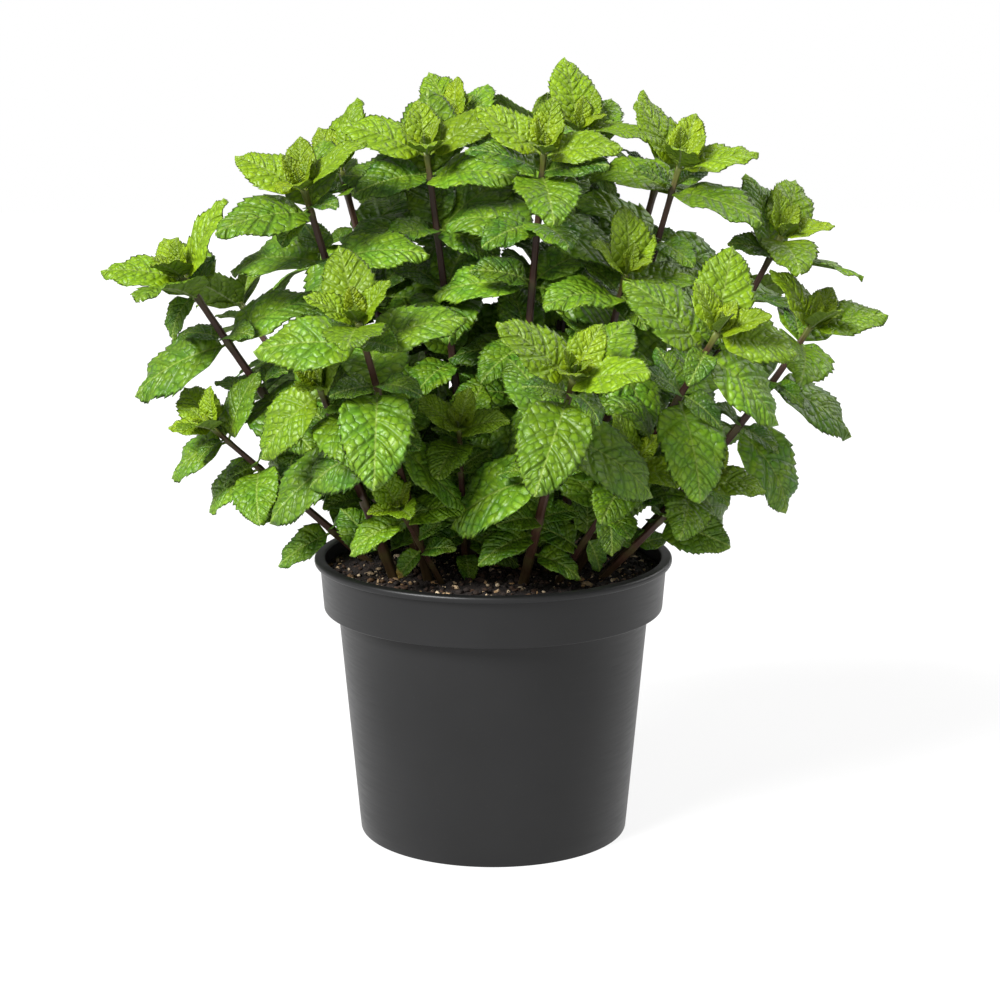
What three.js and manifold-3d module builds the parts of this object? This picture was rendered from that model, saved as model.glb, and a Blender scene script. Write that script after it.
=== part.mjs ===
// A potted mint plant: a plastic nursery pot, its potting soil, and the leafy stems that stand in the soil.
// Millimetres, +Z up. The origin is the centre of the pot's foot, on the surface it stands on.
// The front faces -Y.
import * as THREE from "three";
import { mergeVertices } from "three/addons/utils/BufferGeometryUtils.js";
import Module from "manifold-3d";

const wasm = await Module();
wasm.setup();

// ---- Driving dimensions ----

const LIP_RADIUS = 85; // the pot's widest point, at the rolled lip
const POT_HEIGHT = 134;
const COLLAR_DEPTH = 25; // from the lip's top down to the collar's lower edge
const COLLAR_RADIUS = 80.7; // at the collar's lower edge
const BODY_RADIUS = 74; // just under the collar
const FOOT_RADIUS = 64.2;
const WALL = 1.6;
const LIP_DEPTH = 3.2;
const LIP_WIDTH = 2.7; // how far the lip stands out from the collar
const ROUNDING = 0.8; // of the pot's edges
const FOOT_DEPTH = 3.6; // how far the floor stands above the surface
const FOOT_WIDTH = 2.4;
const DRAIN_COUNT = 6;
const DRAIN_RADIUS = 4.5;
const DRAIN_CIRCLE = 46; // radius of the circle that the drain holes lie on
const POT_SIDES = 32;

const GAP = 0.3; // between pieces that rest on or stand in each other
const SOIL_EDGE = 127; // height of the soil where it meets the pot
const SOIL_MOUND = 2.2; // how much higher the soil is round the stems
const SOIL_RINGS = 4;
const HILLS = 0.7; // height of the soil's broad unevenness
const CRUMBS = 0.9; // height of its lumps

const STEM_FOOT_SIDE = 4.6; // mint stems are square: the side of the section at the soil, at size 1
const STEM_TIP_SIDE = 2.5;
const STEM_STEPS = 5;
const STEM_BURIED = 16; // how deep a stem stands in its hole
const HOLE_RISE = 9; // how far a hole's cutter stands above the soil

const BLADE = 0.7; // thickness of a leaf blade
const BLADE_WIDTH = 0.63; // width of a leaf as a share of its length
const PETIOLE_WIDTH = 1.7;
const PETIOLE_LENGTH = 3.6; // from the stem's middle to where the blade starts
const WIDEST_AT = 0.4; // where along the midrib a leaf is widest
const FOLD = 0.16; // how far the halves of a blade rise from the midrib, as a slope
const FACING = 0.75; // how far leaves turn their faces outwards as well as up, as a slope
const NOD = 32; // a pair opens outwards as if its stem leaned out by at least this many degrees
const FACING_LINE = 80; // they turn away from a line this far behind the middle
const FACING_SPREAD = 0.3; // how much a place to the side of the middle turns them sideways
const TURNING = 0.85; // share of that turn that a leaf makes
const ROLL_LIMIT = 60; // degrees
const LEAST_CURL = 2; // degrees

// Leaf pairs from the tip of a stem down: [distance below the tip, blade length, pitch, curl].
// Pitch is the angle at the root above the plane square to the stem, and curl how far the blade bends down.
const PAIRS = [
  [3, 40, 46, 24],
  [13, 48, 30, 42],
  [38, 50, 14, 50],
  [66, 50, 4, 54],
  [98, 44, -2, 52],
];
const PLACING_ORDER = [2, 1, 3, 0, 4]; // the leaves that show most find their place first

// How far single leaves differ at most: angles in degrees, length as a share.
const VARIES = { round: 7, pitch: 6, curl: 12, roll: 8, length: 0.07 };

// Leaves that would cross another stem's are bent clear: each try turns a leaf further from where it
// would grow.
const TRIES = 40;
const TRY_STEP = 2.5; // degrees by which each try may turn the leaf further
const TRY_ROLL = 0.7; // share of that which it may roll
const SHORTER_AFTER = 16; // tries at full length
const SHORTER_STEP = 0.022; // length that each later try gives up
const CLEARANCE = 0.5; // kept free on both faces of a blade
const ROOT_SHARE = 0.12; // leaves of one stem may touch in this share of their length, next to the stem

// Stems: foot [x, y] in the soil, tip [x, y, z], lean, phase, size, first and last pair.
// Lean is the share of the way out that the stem has gone by the middle of its height: over 0.5 it
// leaves the soil at a slant and turns upwards. Phase is the angle of the even pairs round the stem.
const STEMS = [
  { foot: [-53, 22], tip: [-143, -10, 268], lean: 0.54, phase: 0, size: 1.05, pairs: [0, 4] },
  { foot: [-36, 12], tip: [-86, -22, 310], lean: 0.5, phase: 165, size: 1.0, pairs: [0, 4] },
  { foot: [-9, 8], tip: [-31, 8, 324], lean: 0.42, phase: 178, size: 1.04, pairs: [0, 4] },
  { foot: [-30, -32], tip: [-57, -106, 260], lean: 0.47, phase: 95, size: 1.0, pairs: [0, 4] },
  { foot: [-13, -14], tip: [-15, -62, 206], lean: 0.5, phase: 160, size: 0.7, pairs: [0, 2] },
  { foot: [14, -38], tip: [34, -122, 239], lean: 0.5, phase: 157, size: 0.98, pairs: [0, 3] },
  { foot: [8, -4], tip: [23, -32, 327], lean: 0.45, phase: 165, size: 0.96, pairs: [0, 4] },
  { foot: [22, 18], tip: [41, 42, 331], lean: 0.5, phase: 145, size: 1.02, pairs: [0, 4] },
  { foot: [34, 6], tip: [86, 0, 318], lean: 0.5, phase: 176, size: 1.03, pairs: [0, 4] },
  { foot: [38, -20], tip: [98, -80, 252], lean: 0.5, phase: 72, size: 1.02, pairs: [0, 3] },
  { foot: [52, 20], tip: [135, 12, 284], lean: 0.54, phase: 90, size: 0.98, pairs: [0, 4] },
  { foot: [56, 1], tip: [148, -4, 244], lean: 0.62, phase: 2, size: 0.97, pairs: [0, 4] },
  { foot: [-60, 8], tip: [-131, -12, 197], lean: 0.5, phase: 95, size: 0.8, pairs: [0, 2] },
  { foot: [-14, 30], tip: [-18, 68, 334], lean: 0.5, phase: 140, size: 0.95, pairs: [0, 3] },
  { foot: [30, -34], tip: [62, -70, 190], lean: 0.5, phase: 150, size: 0.75, pairs: [0, 1] },
  { foot: [-24, -36], tip: [-42, -66, 170], lean: 0.48, phase: 120, size: 0.62, pairs: [0, 1] },
  { foot: [-26, 34], tip: [-74, 58, 312], lean: 0.5, phase: 30, size: 1.0, pairs: [0, 3] },
  { foot: [-43, 43], tip: [-127, 88, 242], lean: 0.52, phase: 60, size: 1.0, pairs: [0, 3] },
  { foot: [-12, 56], tip: [-48, 112, 288], lean: 0.54, phase: 10, size: 1.02, pairs: [0, 3] },
  { foot: [8, 42], tip: [26, 98, 322], lean: 0.52, phase: 0, size: 1.0, pairs: [0, 3] },
  { foot: [30, 48], tip: [82, 70, 312], lean: 0.52, phase: 140, size: 1.02, pairs: [0, 3] },
  { foot: [22, 57], tip: [40, 116, 238], lean: 0.54, phase: 170, size: 1.0, pairs: [0, 3] },
  { foot: [45, 38], tip: [122, 88, 246], lean: 0.54, phase: 130, size: 1.0, pairs: [0, 3] },
  { foot: [-26, 54], tip: [-70, 124, 204], lean: 0.54, phase: 20, size: 0.9, pairs: [0, 2] },
  { foot: [50, -26], tip: [94, -56, 182], lean: 0.52, phase: 170, size: 0.8, pairs: [0, 1] },
  { foot: [-46, -24], tip: [-76, -72, 226], lean: 0.5, phase: 175, size: 1.0, pairs: [0, 2] },
  { foot: [26, -17], tip: [60, -36, 272], lean: 0.5, phase: 130, size: 0.95, pairs: [0, 3] },
];

// Leaves that lie otherwise than the rule has them: [stem number, pair, side, degrees further round the
// stem, degrees of pitch and of curl added, share of the length].
const BENT = [
  [1, 1, 1, 0, 34, 0, 1],
  [1, 2, 0, 0, 7, 0, 1.05],
  [2, 1, 0, -36, 6, 0, 1],
  [2, 1, 1, 0, 16, 0, 1],
  [2, 2, 1, 0, 14, 0, 1.12],
  [3, 1, 0, 48, 10, 0, 1],
  [3, 2, 0, 0, 26, 0, 1],
  [3, 2, 1, 0, 22, 0, 1],
  [3, 3, 1, 0, 36, 0, 1],
  [4, 1, 0, 0, -8, 0, 1],
  [4, 1, 1, 0, -8, 0, 1],
  [4, 3, 0, 0, -48, 0, 1],
  [6, 1, 0, 8, -26, 0, 1],
  [6, 2, 1, -40, 20, 0, 1],
  [6, 3, 0, -30, 0, 0, 1],
  [6, 3, 1, -62, -14, 0, 1.25],
  [7, 0, 0, 0, -12, 0, 1],
  [7, 0, 1, 0, -12, 0, 1],
  [7, 1, 0, 18, -6, 0, 1],
  [7, 3, 0, -75, 0, 0, 1],
  [7, 3, 1, -75, 0, 0, 1],
  [8, 1, 1, 0, 20, 0, 1],
  [9, 1, 0, 48, 14, 0, 1],
  [9, 1, 1, 84, -26, 10, 1],
  [9, 2, 1, 0, 14, 0, 1],
  [10, 0, 0, 28, 0, 0, 1],
  [10, 0, 1, 80, 6, 0, 1],
  [10, 1, 1, 0, -26, 10, 1],
  [10, 2, 0, 32, -10, 0, 1],
  [10, 3, 0, -70, 0, 0, 1],
  [11, 0, 1, 10, -34, 0, 1],
  [11, 1, 0, 0, 26, 0, 1],
  [11, 1, 1, 0, 40, -10, 1],
  [12, 0, 0, 0, 14, 0, 1],
  [12, 0, 1, 0, 20, 0, 1],
  [12, 2, 0, 0, 40, 0, 1],
  [12, 2, 1, -8, 14, 8, 1],
  [12, 3, 0, 64, 12, 14, 1.08],
  [13, 0, 1, 0, 22, 0, 1],
  [13, 2, 1, 84, 16, 0, 1],
  [26, 0, 0, 30, -52, 20, 1],
  [26, 1, 0, 30, -20, 0, 1],
  [26, 2, 1, 20, -16, 0, 1],
];

// ---- Seeded draws ----

const SEED = 41;

/** A number from -1 to 1 that depends only on its keys. */
function draw(stem, pair, side, turn, what) {
  let t = SEED + Math.imul(stem + 1, 0x9e3779b1) + Math.imul(pair + 1, 0x85ebca6b);
  t += Math.imul(side + 1, 0xc2b2ae35) + Math.imul(turn + 1, 0x27d4eb2f);
  t = (t + Math.imul(what + 1, 0x6d2b79f5)) | 0;
  t = Math.imul(t ^ (t >>> 15), t | 1);
  t ^= t + Math.imul(t ^ (t >>> 7), t | 61);
  return (((t ^ (t >>> 14)) >>> 0) / 4294967296) * 2 - 1;
}

// ---- Solids ----

/** A closed geometry as a solid that can be joined and cut. */
function solidOf(geometry) {
  const bare = geometry.clone();
  bare.deleteAttribute("normal");
  bare.deleteAttribute("uv");
  const merged = mergeVertices(bare, 1e-4);
  const mesh = new wasm.Mesh({
    numProp: 3,
    vertProperties: new Float32Array(merged.attributes.position.array),
    triVerts: new Uint32Array(merged.index.array),
  });
  return new wasm.Manifold(mesh);
}

function geometryOf(solid) {
  const mesh = solid.getMesh();
  return new THREE.BufferGeometry()
    .setAttribute("position", new THREE.BufferAttribute(mesh.vertProperties, 3))
    .setIndex(new THREE.BufferAttribute(mesh.triVerts, 1));
}

/** A closed body through rings of points that all have the same number of corners. */
function loft(rings) {
  const corners = rings[0].length;
  const index = [];
  for (let r = 0; r + 1 < rings.length; r++)
    for (let c = 0; c < corners; c++) {
      const a = r * corners + c;
      const b = r * corners + ((c + 1) % corners);
      index.push(a, b, b + corners, a, b + corners, a + corners);
    }
  const last = (rings.length - 1) * corners;
  for (let c = 1; c + 1 < corners; c++) {
    index.push(0, c + 1, c);
    index.push(last, last + c, last + c + 1);
  }
  return new THREE.BufferGeometry().setFromPoints(rings.flat()).setIndex(index);
}

/** A profile of [radius, height] points turned round the Z axis. */
function turned(profile) {
  const points = profile.map(([r, z]) => new THREE.Vector2(r, z));
  return new THREE.LatheGeometry(points, POT_SIDES).rotateX(Math.PI / 2);
}

// ---- Pot ----

const collarEdge = POT_HEIGHT - COLLAR_DEPTH;
const collarTop = POT_HEIGHT - LIP_DEPTH;
const neckRadius = LIP_RADIUS - LIP_WIDTH; // the collar just under the lip
const mouthRadius = neckRadius - WALL - ROUNDING; // inside the collar, at its top
const floorTop = FOOT_DEPTH + WALL;

function potProfile() {
  return [
    [0, FOOT_DEPTH],
    [FOOT_RADIUS - FOOT_WIDTH, FOOT_DEPTH],
    [FOOT_RADIUS - FOOT_WIDTH, 0],
    [FOOT_RADIUS, 0],
    [BODY_RADIUS, collarEdge - 1],
    [COLLAR_RADIUS - ROUNDING, collarEdge],
    [COLLAR_RADIUS, collarEdge + 1],
    [neckRadius, collarTop],
    [LIP_RADIUS, collarTop + ROUNDING],
    [LIP_RADIUS, POT_HEIGHT - ROUNDING],
    [LIP_RADIUS - ROUNDING, POT_HEIGHT],
    [neckRadius - WALL, POT_HEIGHT],
    [mouthRadius, POT_HEIGHT - ROUNDING],
    [ledgeRadius, ledgeTop],
    [BODY_RADIUS - WALL, ledgeTop - 1],
    [FOOT_RADIUS - WALL, floorTop],
    [0, floorTop],
  ];
}

function makePot() {
  let pot = solidOf(turned(potProfile()));
  for (let i = 0; i < DRAIN_COUNT; i++) {
    const angle = ((i + 0.5) / DRAIN_COUNT) * 2 * Math.PI;
    const drill = new THREE.CylinderGeometry(DRAIN_RADIUS, DRAIN_RADIUS, 4 * WALL, 8);
    drill.rotateX(Math.PI / 2);
    drill.translate(DRAIN_CIRCLE * Math.cos(angle), DRAIN_CIRCLE * Math.sin(angle), FOOT_DEPTH);
    pot = pot.subtract(solidOf(drill));
  }
  return pot;
}

// ---- Soil ----

// Where the soil's surface meets the collar, which widens from its inner ledge to the mouth.
const ledgeRadius = COLLAR_RADIUS - WALL;
const ledgeTop = collarEdge + WALL;
const soilShare = (SOIL_EDGE - ledgeTop) / (POT_HEIGHT - ROUNDING - ledgeTop);
const soilRadius = THREE.MathUtils.lerp(ledgeRadius, mouthRadius, soilShare) - GAP;

/** Height of the soil's crumbly surface. */
function soilHeight(x, y) {
  const out = Math.min(1, Math.hypot(x, y) / soilRadius);
  const hills = HILLS * Math.sin(0.09 * x + 1.1) * Math.cos(0.11 * y - 0.6);
  const crumbs = CRUMBS * Math.sin(0.83 * x + 0.31 * y) * Math.sin(0.71 * y - 0.27 * x);
  return SOIL_EDGE + SOIL_MOUND * (1 - out * out) + (hills + crumbs) * (1 - out ** 6);
}

function makeSoil(holes) {
  const profile = [
    [0, floorTop + GAP],
    [FOOT_RADIUS - WALL - GAP, floorTop + GAP],
    [BODY_RADIUS - WALL - GAP, ledgeTop - 1 + GAP],
    [ledgeRadius - GAP, ledgeTop + GAP],
  ];
  for (let ring = 0; ring <= SOIL_RINGS; ring++)
    profile.push([soilRadius * (1 - ring / SOIL_RINGS), SOIL_EDGE]);
  const geometry = turned(profile);
  const position = geometry.attributes.position;
  for (let i = 0; i < position.count; i++)
    if (position.getZ(i) > SOIL_EDGE - 1) position.setZ(i, soilHeight(position.getX(i), position.getY(i)));
  return holes.reduce((soil, hole) => soil.subtract(hole), solidOf(geometry));
}

// ---- Stems ----

const UP = new THREE.Vector3(0, 0, 1);
const EAST = new THREE.Vector3(1, 0, 0);
const radians = THREE.MathUtils.degToRad;

function stemCurve({ foot, tip, lean }) {
  const start = new THREE.Vector3(foot[0], foot[1], soilHeight(foot[0], foot[1]));
  const end = new THREE.Vector3(...tip);
  const middle = new THREE.Vector3().lerpVectors(start, end, 0.5);
  middle.x = start.x + (end.x - start.x) * lean;
  middle.y = start.y + (end.y - start.y) * lean;
  return new THREE.QuadraticBezierCurve3(start, middle, end);
}

/** The stem's direction, and two directions square to it, of which the first lies towards +X. */
function stemAxes(curve, t) {
  const along = curve.getTangent(t);
  const first = EAST.clone().addScaledVector(along, -EAST.dot(along)).normalize();
  return { along, first, second: new THREE.Vector3().crossVectors(along, first) };
}

/** Square ring of the stem round a point, with its flats where the leaves grow. */
function stemRing(centre, axes, phase, side) {
  return [45, 135, 225, 315].map((corner) => {
    const angle = radians(phase + corner);
    return centre
      .clone()
      .addScaledVector(axes.first, (Math.cos(angle) * side) / Math.SQRT2)
      .addScaledVector(axes.second, (Math.sin(angle) * side) / Math.SQRT2);
  });
}

function makeStalk(stem, curve) {
  const rings = [];
  const footAxes = stemAxes(curve, 0);
  const buried = curve.getPoint(0).addScaledVector(footAxes.along, -STEM_BURIED);
  rings.push(stemRing(buried, footAxes, stem.phase, STEM_FOOT_SIDE * stem.size));
  for (let step = 0; step <= STEM_STEPS; step++) {
    const t = step / STEM_STEPS;
    const side = stem.size * THREE.MathUtils.lerp(STEM_FOOT_SIDE, STEM_TIP_SIDE, t);
    rings.push(stemRing(curve.getPoint(t), stemAxes(curve, t), stem.phase, side));
  }
  return solidOf(loft(rings));
}

function makeHole(stem, curve) {
  const axes = stemAxes(curve, 0);
  const side = STEM_FOOT_SIDE * stem.size + 2 * GAP;
  const ends = [-STEM_BURIED - GAP, HOLE_RISE];
  const rings = ends.map((along) => {
    const centre = curve.getPoint(0).addScaledVector(axes.along, along);
    return stemRing(centre, axes, stem.phase, side);
  });
  return solidOf(loft(rings));
}

// ---- Leaves ----

// Outlines for blades of different length. An edge point is [share of the length, share of the half
// width there], and they make teeth and notches. A rib point bends the blade between its root and tip.
const BLADES = [
  { over: 38, edge: [[0.15, 1.04], [0.4, 1.05], [0.52, 0.9], [0.71, 1.06]], rib: [0.5] },
  { over: 26, edge: [[0.17, 1.04], [0.5, 1.06], [0.6, 0.9]], rib: [0.5] },
  { over: 0, edge: [[0.3, 1.03], [0.6, 1.0]], rib: [] },
];

/** Half width of the blade, as a share of its greatest, at a share s of its length. */
function bladeHalf(s) {
  const base = 0.55;
  const tip = (base * (1 - WIDEST_AT)) / WIDEST_AT;
  const top = WIDEST_AT ** base * (1 - WIDEST_AT) ** tip;
  return (s ** base * (1 - s) ** tip) / top;
}

/** The point of a leaf a share s along its midrib, v to the left of it, and h above the blade. */
function leafPoint(leaf, s, v, h) {
  const bent = leaf.curl * s;
  const forward = (leaf.length * Math.sin(bent)) / leaf.curl;
  const down = (leaf.length * (1 - Math.cos(bent))) / leaf.curl;
  const above = h + FOLD * Math.abs(v);
  return leaf.root
    .clone()
    .addScaledVector(leaf.heading, forward + above * Math.sin(bent))
    .addScaledVector(leaf.normal, above * Math.cos(bent) - down)
    .addScaledVector(leaf.left, v);
}

/** Triangles between two chains of points that end in the same point, the leaf's tip. */
function strip(rib, edge, at) {
  const triangles = [];
  let r = 0;
  let e = 0;
  for (let move = 3; move < rib.length + edge.length; move++) {
    const ribNext = r + 1 < rib.length ? at[rib[r + 1]] : Infinity;
    if (at[edge[e + 1]] <= ribNext) {
      triangles.push([rib[r], edge[e], edge[e + 1]]);
      e++;
    } else {
      triangles.push([rib[r], edge[e], rib[r + 1]]);
      r++;
    }
  }
  return triangles;
}

/** A leaf from a share `from` of its length on, as a closed blade with the same triangles on both faces. */
function makeBlade(leaf, thickness, from = 0) {
  const { edge, rib } = BLADES.find(({ over }) => leaf.length > over);
  const half = (leaf.length * BLADE_WIDTH) / 2;
  const outline = edge.map(([s, share]) => [s, half * bladeHalf(s) * share]);
  if (from > 0) outline.unshift([from, half * bladeHalf(from)]);
  else outline.unshift([0, PETIOLE_WIDTH / 2], [PETIOLE_LENGTH / leaf.length, PETIOLE_WIDTH / 2]);

  const perSide = outline.length;
  const points = [...outline, ...outline.map(([s, v]) => [s, -v]), ...rib.map((s) => [s, 0]), [1, 0]];
  const tip = points.length - 1;
  const chain = (first, count) => [...Array(count).keys()].map((i) => first + i).concat(tip);
  const left = chain(0, perSide);
  const right = chain(perSide, perSide);
  const middle = chain(2 * perSide, rib.length);

  const face = [];
  const start = from > 0 ? 0 : 1;
  if (start) face.push([left[0], right[0], right[1]], [left[0], right[1], left[1]]);
  face.push([left[start], right[start], middle[0]]);
  const at = points.map(([s]) => s);
  for (const [a, b, c] of strip(middle, left.slice(start), at)) face.push([a, c, b]);
  for (const [a, b, c] of strip(middle, right.slice(start), at)) face.push([a, b, c]);

  const count = points.length;
  const index = [];
  for (const [a, b, c] of face) index.push(a, b, c, a + count, c + count, b + count);
  const loop = [...right, ...left.slice(0, -1).reverse()];
  loop.forEach((a, i) => {
    const b = loop[(i + 1) % loop.length];
    index.push(a, a + count, b + count, a, b + count, b);
  });
  const surface = (h) => points.map(([s, v]) => leafPoint(leaf, s, v, h));
  const corners = [...surface(thickness / 2), ...surface(-thickness / 2)];
  return solidOf(new THREE.BufferGeometry().setFromPoints(corners).setIndex(index));
}

/** How a leaf is made by the rule for its pair, and as BENT changes that. */
function leafShape(number, pair, side) {
  const [below, full, pitch, curl] = PAIRS[pair];
  const isThis = ([n, p, s]) => n === number + 1 && p === pair && s === side;
  const [, , , shift, raised, bowed, share] = BENT.find(isThis) ?? [0, 0, 0, 0, 0, 0, 1];
  return { below, full: full * share, pitch: pitch + raised, curl: curl + bowed, shift };
}

/** Where and how a leaf grows. Try 0 is where it grows by itself, and each further try bends it more. */
function leafPose(stem, number, curve, length, pair, side, turn) {
  const { below, full, pitch, curl, shift } = leafShape(number, pair, side);
  const t = 1 - (below * stem.size) / length;
  const axes = stemAxes(curve, t);
  const root = curve.getPoint(t);
  const slack = radians(TRY_STEP * turn);
  const jitter = (what) => draw(number, pair, side, turn, what);
  const start = stem.phase + shift + 90 * pair + 180 * side;
  const round = radians(start + VARIES.round * jitter(0)) + slack * jitter(1);
  const radial = axes.first.clone().multiplyScalar(Math.cos(round));
  radial.addScaledVector(axes.second, Math.sin(round));
  const away = new THREE.Vector3(FACING_SPREAD * root.x, root.y - FACING_LINE, 0).normalize();
  const nod = Math.max(0, radians(NOD) - Math.asin(axes.along.dot(away)));
  const lift = radians(pitch + VARIES.pitch * jitter(2)) - nod * radial.dot(away) + slack * jitter(3);
  const bend = Math.max(radians(LEAST_CURL), radians(curl + VARIES.curl * jitter(4)) + slack * jitter(5));
  const heading = radial.clone().multiplyScalar(Math.cos(lift)).addScaledVector(axes.along, Math.sin(lift));
  const normal = axes.along.clone().multiplyScalar(Math.cos(lift)).addScaledVector(radial, -Math.sin(lift));

  // The leaf rolls about its midrib until its blade faces up and away from the middle of the plant.
  const light = away.multiplyScalar(FACING).add(UP);
  const left = new THREE.Vector3().crossVectors(normal, heading);
  const facing = normal.dot(light) * Math.cos(bend / 2) + heading.dot(light) * Math.sin(bend / 2);
  const wanted = TURNING * Math.atan2(-left.dot(light), facing);
  const limit = radians(ROLL_LIMIT);
  const strayed = radians(VARIES.roll) * jitter(6) + TRY_ROLL * slack * jitter(7);
  const roll = THREE.MathUtils.clamp(wanted, -limit, limit) + strayed;
  normal.applyAxisAngle(heading, roll);
  left.applyAxisAngle(heading, roll);
  const shorter = 1 - SHORTER_STEP * Math.max(0, turn - SHORTER_AFTER);
  const grown = full * stem.size * (1 + VARIES.length * draw(number, pair, side, 0, 8)) * shorter;
  return { root, heading, normal, left, curl: bend, length: grown };
}

// ---- The plant ----

function boxesMeet(a, b) {
  return [0, 1, 2].every((i) => a.min[i] < b.max[i] && b.min[i] < a.max[i]);
}

/** Everything that has found its place, with the stem it belongs to. */
class Placed {
  constructor() {
    this.entries = [];
  }

  add(solid, stem, outer = null) {
    this.entries.push({ solid, stem, outer, box: solid.boundingBox() });
  }

  isClear(wide, stem, outer) {
    const box = wide.boundingBox();
    for (const entry of this.entries) {
      if (!boxesMeet(box, entry.box)) continue;
      if (entry.stem !== stem) {
        if (!wide.intersect(entry.solid).isEmpty()) return false;
      } else if (entry.outer && !outer.intersect(entry.outer).isEmpty()) return false;
    }
    return true;
  }
}

function growPlant() {
  const placed = new Placed();
  const plants = STEMS.map((stem, number) => {
    const curve = stemCurve(stem);
    return { stem, number, curve, length: curve.getLength(), stalk: makeStalk(stem, curve), leaves: [] };
  });
  const pot = makePot();
  const soil = makeSoil(plants.map(({ stem, curve }) => makeHole(stem, curve)));
  placed.add(pot, -1);
  placed.add(soil, -1);
  plants.forEach(({ stalk, number }) => placed.add(stalk, number));

  for (const pair of PLACING_ORDER)
    for (const plant of plants) {
      const { stem, number, curve, length, leaves } = plant;
      if (pair < stem.pairs[0] || pair > stem.pairs[1]) continue;
      for (const side of [0, 1])
        for (let turn = 0; turn < TRIES; turn++) {
          const leaf = leafPose(stem, number, curve, length, pair, side, turn);
          const wide = makeBlade(leaf, BLADE + 2 * CLEARANCE);
          const outer = makeBlade(leaf, BLADE, ROOT_SHARE);
          if (!placed.isClear(wide, number, outer)) continue;
          const blade = makeBlade(leaf, BLADE);
          placed.add(blade, number, outer);
          leaves.push(blade);
          break;
        }
    }
  return { pot, soil, plants };
}

// ---- Materials and scene graph ----

const potPlastic = new THREE.MeshStandardMaterial({ color: 0x35363a, roughness: 0.5, metalness: 0 });
const pottingSoil = new THREE.MeshStandardMaterial({ color: 0x241710, roughness: 0.95, metalness: 0 });
const mintGreen = new THREE.MeshStandardMaterial({ color: 0x4f9a2a, roughness: 0.55, metalness: 0 });

function named(name, solid, material) {
  const mesh = new THREE.Mesh(geometryOf(solid), material);
  mesh.name = name;
  return mesh;
}

const { pot, soil, plants } = growPlant();
const mint = new THREE.Group();
mint.add(named("pot", pot, potPlastic));
mint.add(named("soil", soil, pottingSoil));
for (const { number, stalk, leaves } of plants) {
  const whole = leaves.reduce((joined, blade) => joined.add(blade), stalk);
  mint.add(named(`mint_stem_${String(number + 1).padStart(2, "0")}`, whole, mintGreen));
}

export default mint;
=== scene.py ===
"""Dresses a potted mint plant: fine leaves, stalks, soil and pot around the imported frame.

Lengths are in millimetres, in the frame's axes, and become metres when a mesh is made.
"""
import math

import bmesh
import bpy
import numpy as np
from mathutils import Euler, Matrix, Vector
from mathutils.bvhtree import BVHTree
from mathutils.kdtree import KDTree


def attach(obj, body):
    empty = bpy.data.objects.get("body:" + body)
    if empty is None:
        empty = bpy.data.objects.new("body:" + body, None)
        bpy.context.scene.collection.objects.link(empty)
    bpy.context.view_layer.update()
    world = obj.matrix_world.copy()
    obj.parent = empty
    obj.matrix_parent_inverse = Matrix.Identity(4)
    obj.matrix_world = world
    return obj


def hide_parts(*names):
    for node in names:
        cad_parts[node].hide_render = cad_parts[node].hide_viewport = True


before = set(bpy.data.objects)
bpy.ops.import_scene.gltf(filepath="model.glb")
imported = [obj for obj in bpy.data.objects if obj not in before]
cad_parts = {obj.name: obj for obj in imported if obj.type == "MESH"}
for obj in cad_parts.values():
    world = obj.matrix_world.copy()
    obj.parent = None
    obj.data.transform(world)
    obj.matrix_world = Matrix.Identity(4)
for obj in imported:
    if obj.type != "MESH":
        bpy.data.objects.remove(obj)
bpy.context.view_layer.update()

MM = 0.001

# ---- Camera and stage ----

CAMERA_TARGET = (3.2, 0.0, 160.0)
CAMERA_DISTANCE = 1185.0
CAMERA_HEIGHT_ANGLE = 12.15  # degrees above level
LENS = 90.0
STAGE_SIZE = 6000.0
STAGE_GLOW = 0.82  # the floor shines, as a white table does that is lit from below
KEY_FROM = (-0.56, -0.54, 0.64)  # towards the main light
KEY_SOFTNESS = 26.0  # degrees across
KEY_STRENGTH = 8.3
BACK_FROM = (0.62, 0.5, 0.6)  # towards the light that shines through the leaves
BACK_SOFTNESS = 50.0
BACK_STRENGTH = 2.2
FRONT_FROM = (0.1, -1.0, 0.1)  # towards a weak light that reaches under the leaves
FRONT_SOFTNESS = 60.0
FRONT_STRENGTH = 0.7
FILL_STRENGTH = 0.35

# ---- Pot, as in the frame ----

LIP_RADIUS = 85.0
POT_HEIGHT = 134.0
COLLAR_DEPTH = 25.0
COLLAR_RADIUS = 80.7
BODY_RADIUS = 74.0
FOOT_RADIUS = 64.2
WALL = 1.6
LIP_DEPTH = 3.2
LIP_WIDTH = 2.7
ROUNDING = 0.8
FOOT_DEPTH = 3.6
FOOT_WIDTH = 2.4
DRAIN_COUNT = 6
DRAIN_RADIUS = 4.5
DRAIN_CIRCLE = 46.0
DRAIN_SEGMENTS = 24
POT_SEGMENTS = 144

# ---- Soil ----

GAP = 0.3
SOIL_EDGE = 127.0
SOIL_MOUND = 2.2
HILLS = 0.7
CRUMBS = 0.9
SOIL_SEGMENTS = 150
SOIL_RINGS = 60

# ---- Stems and leaves, by the same rule as the frame's ----

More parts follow.
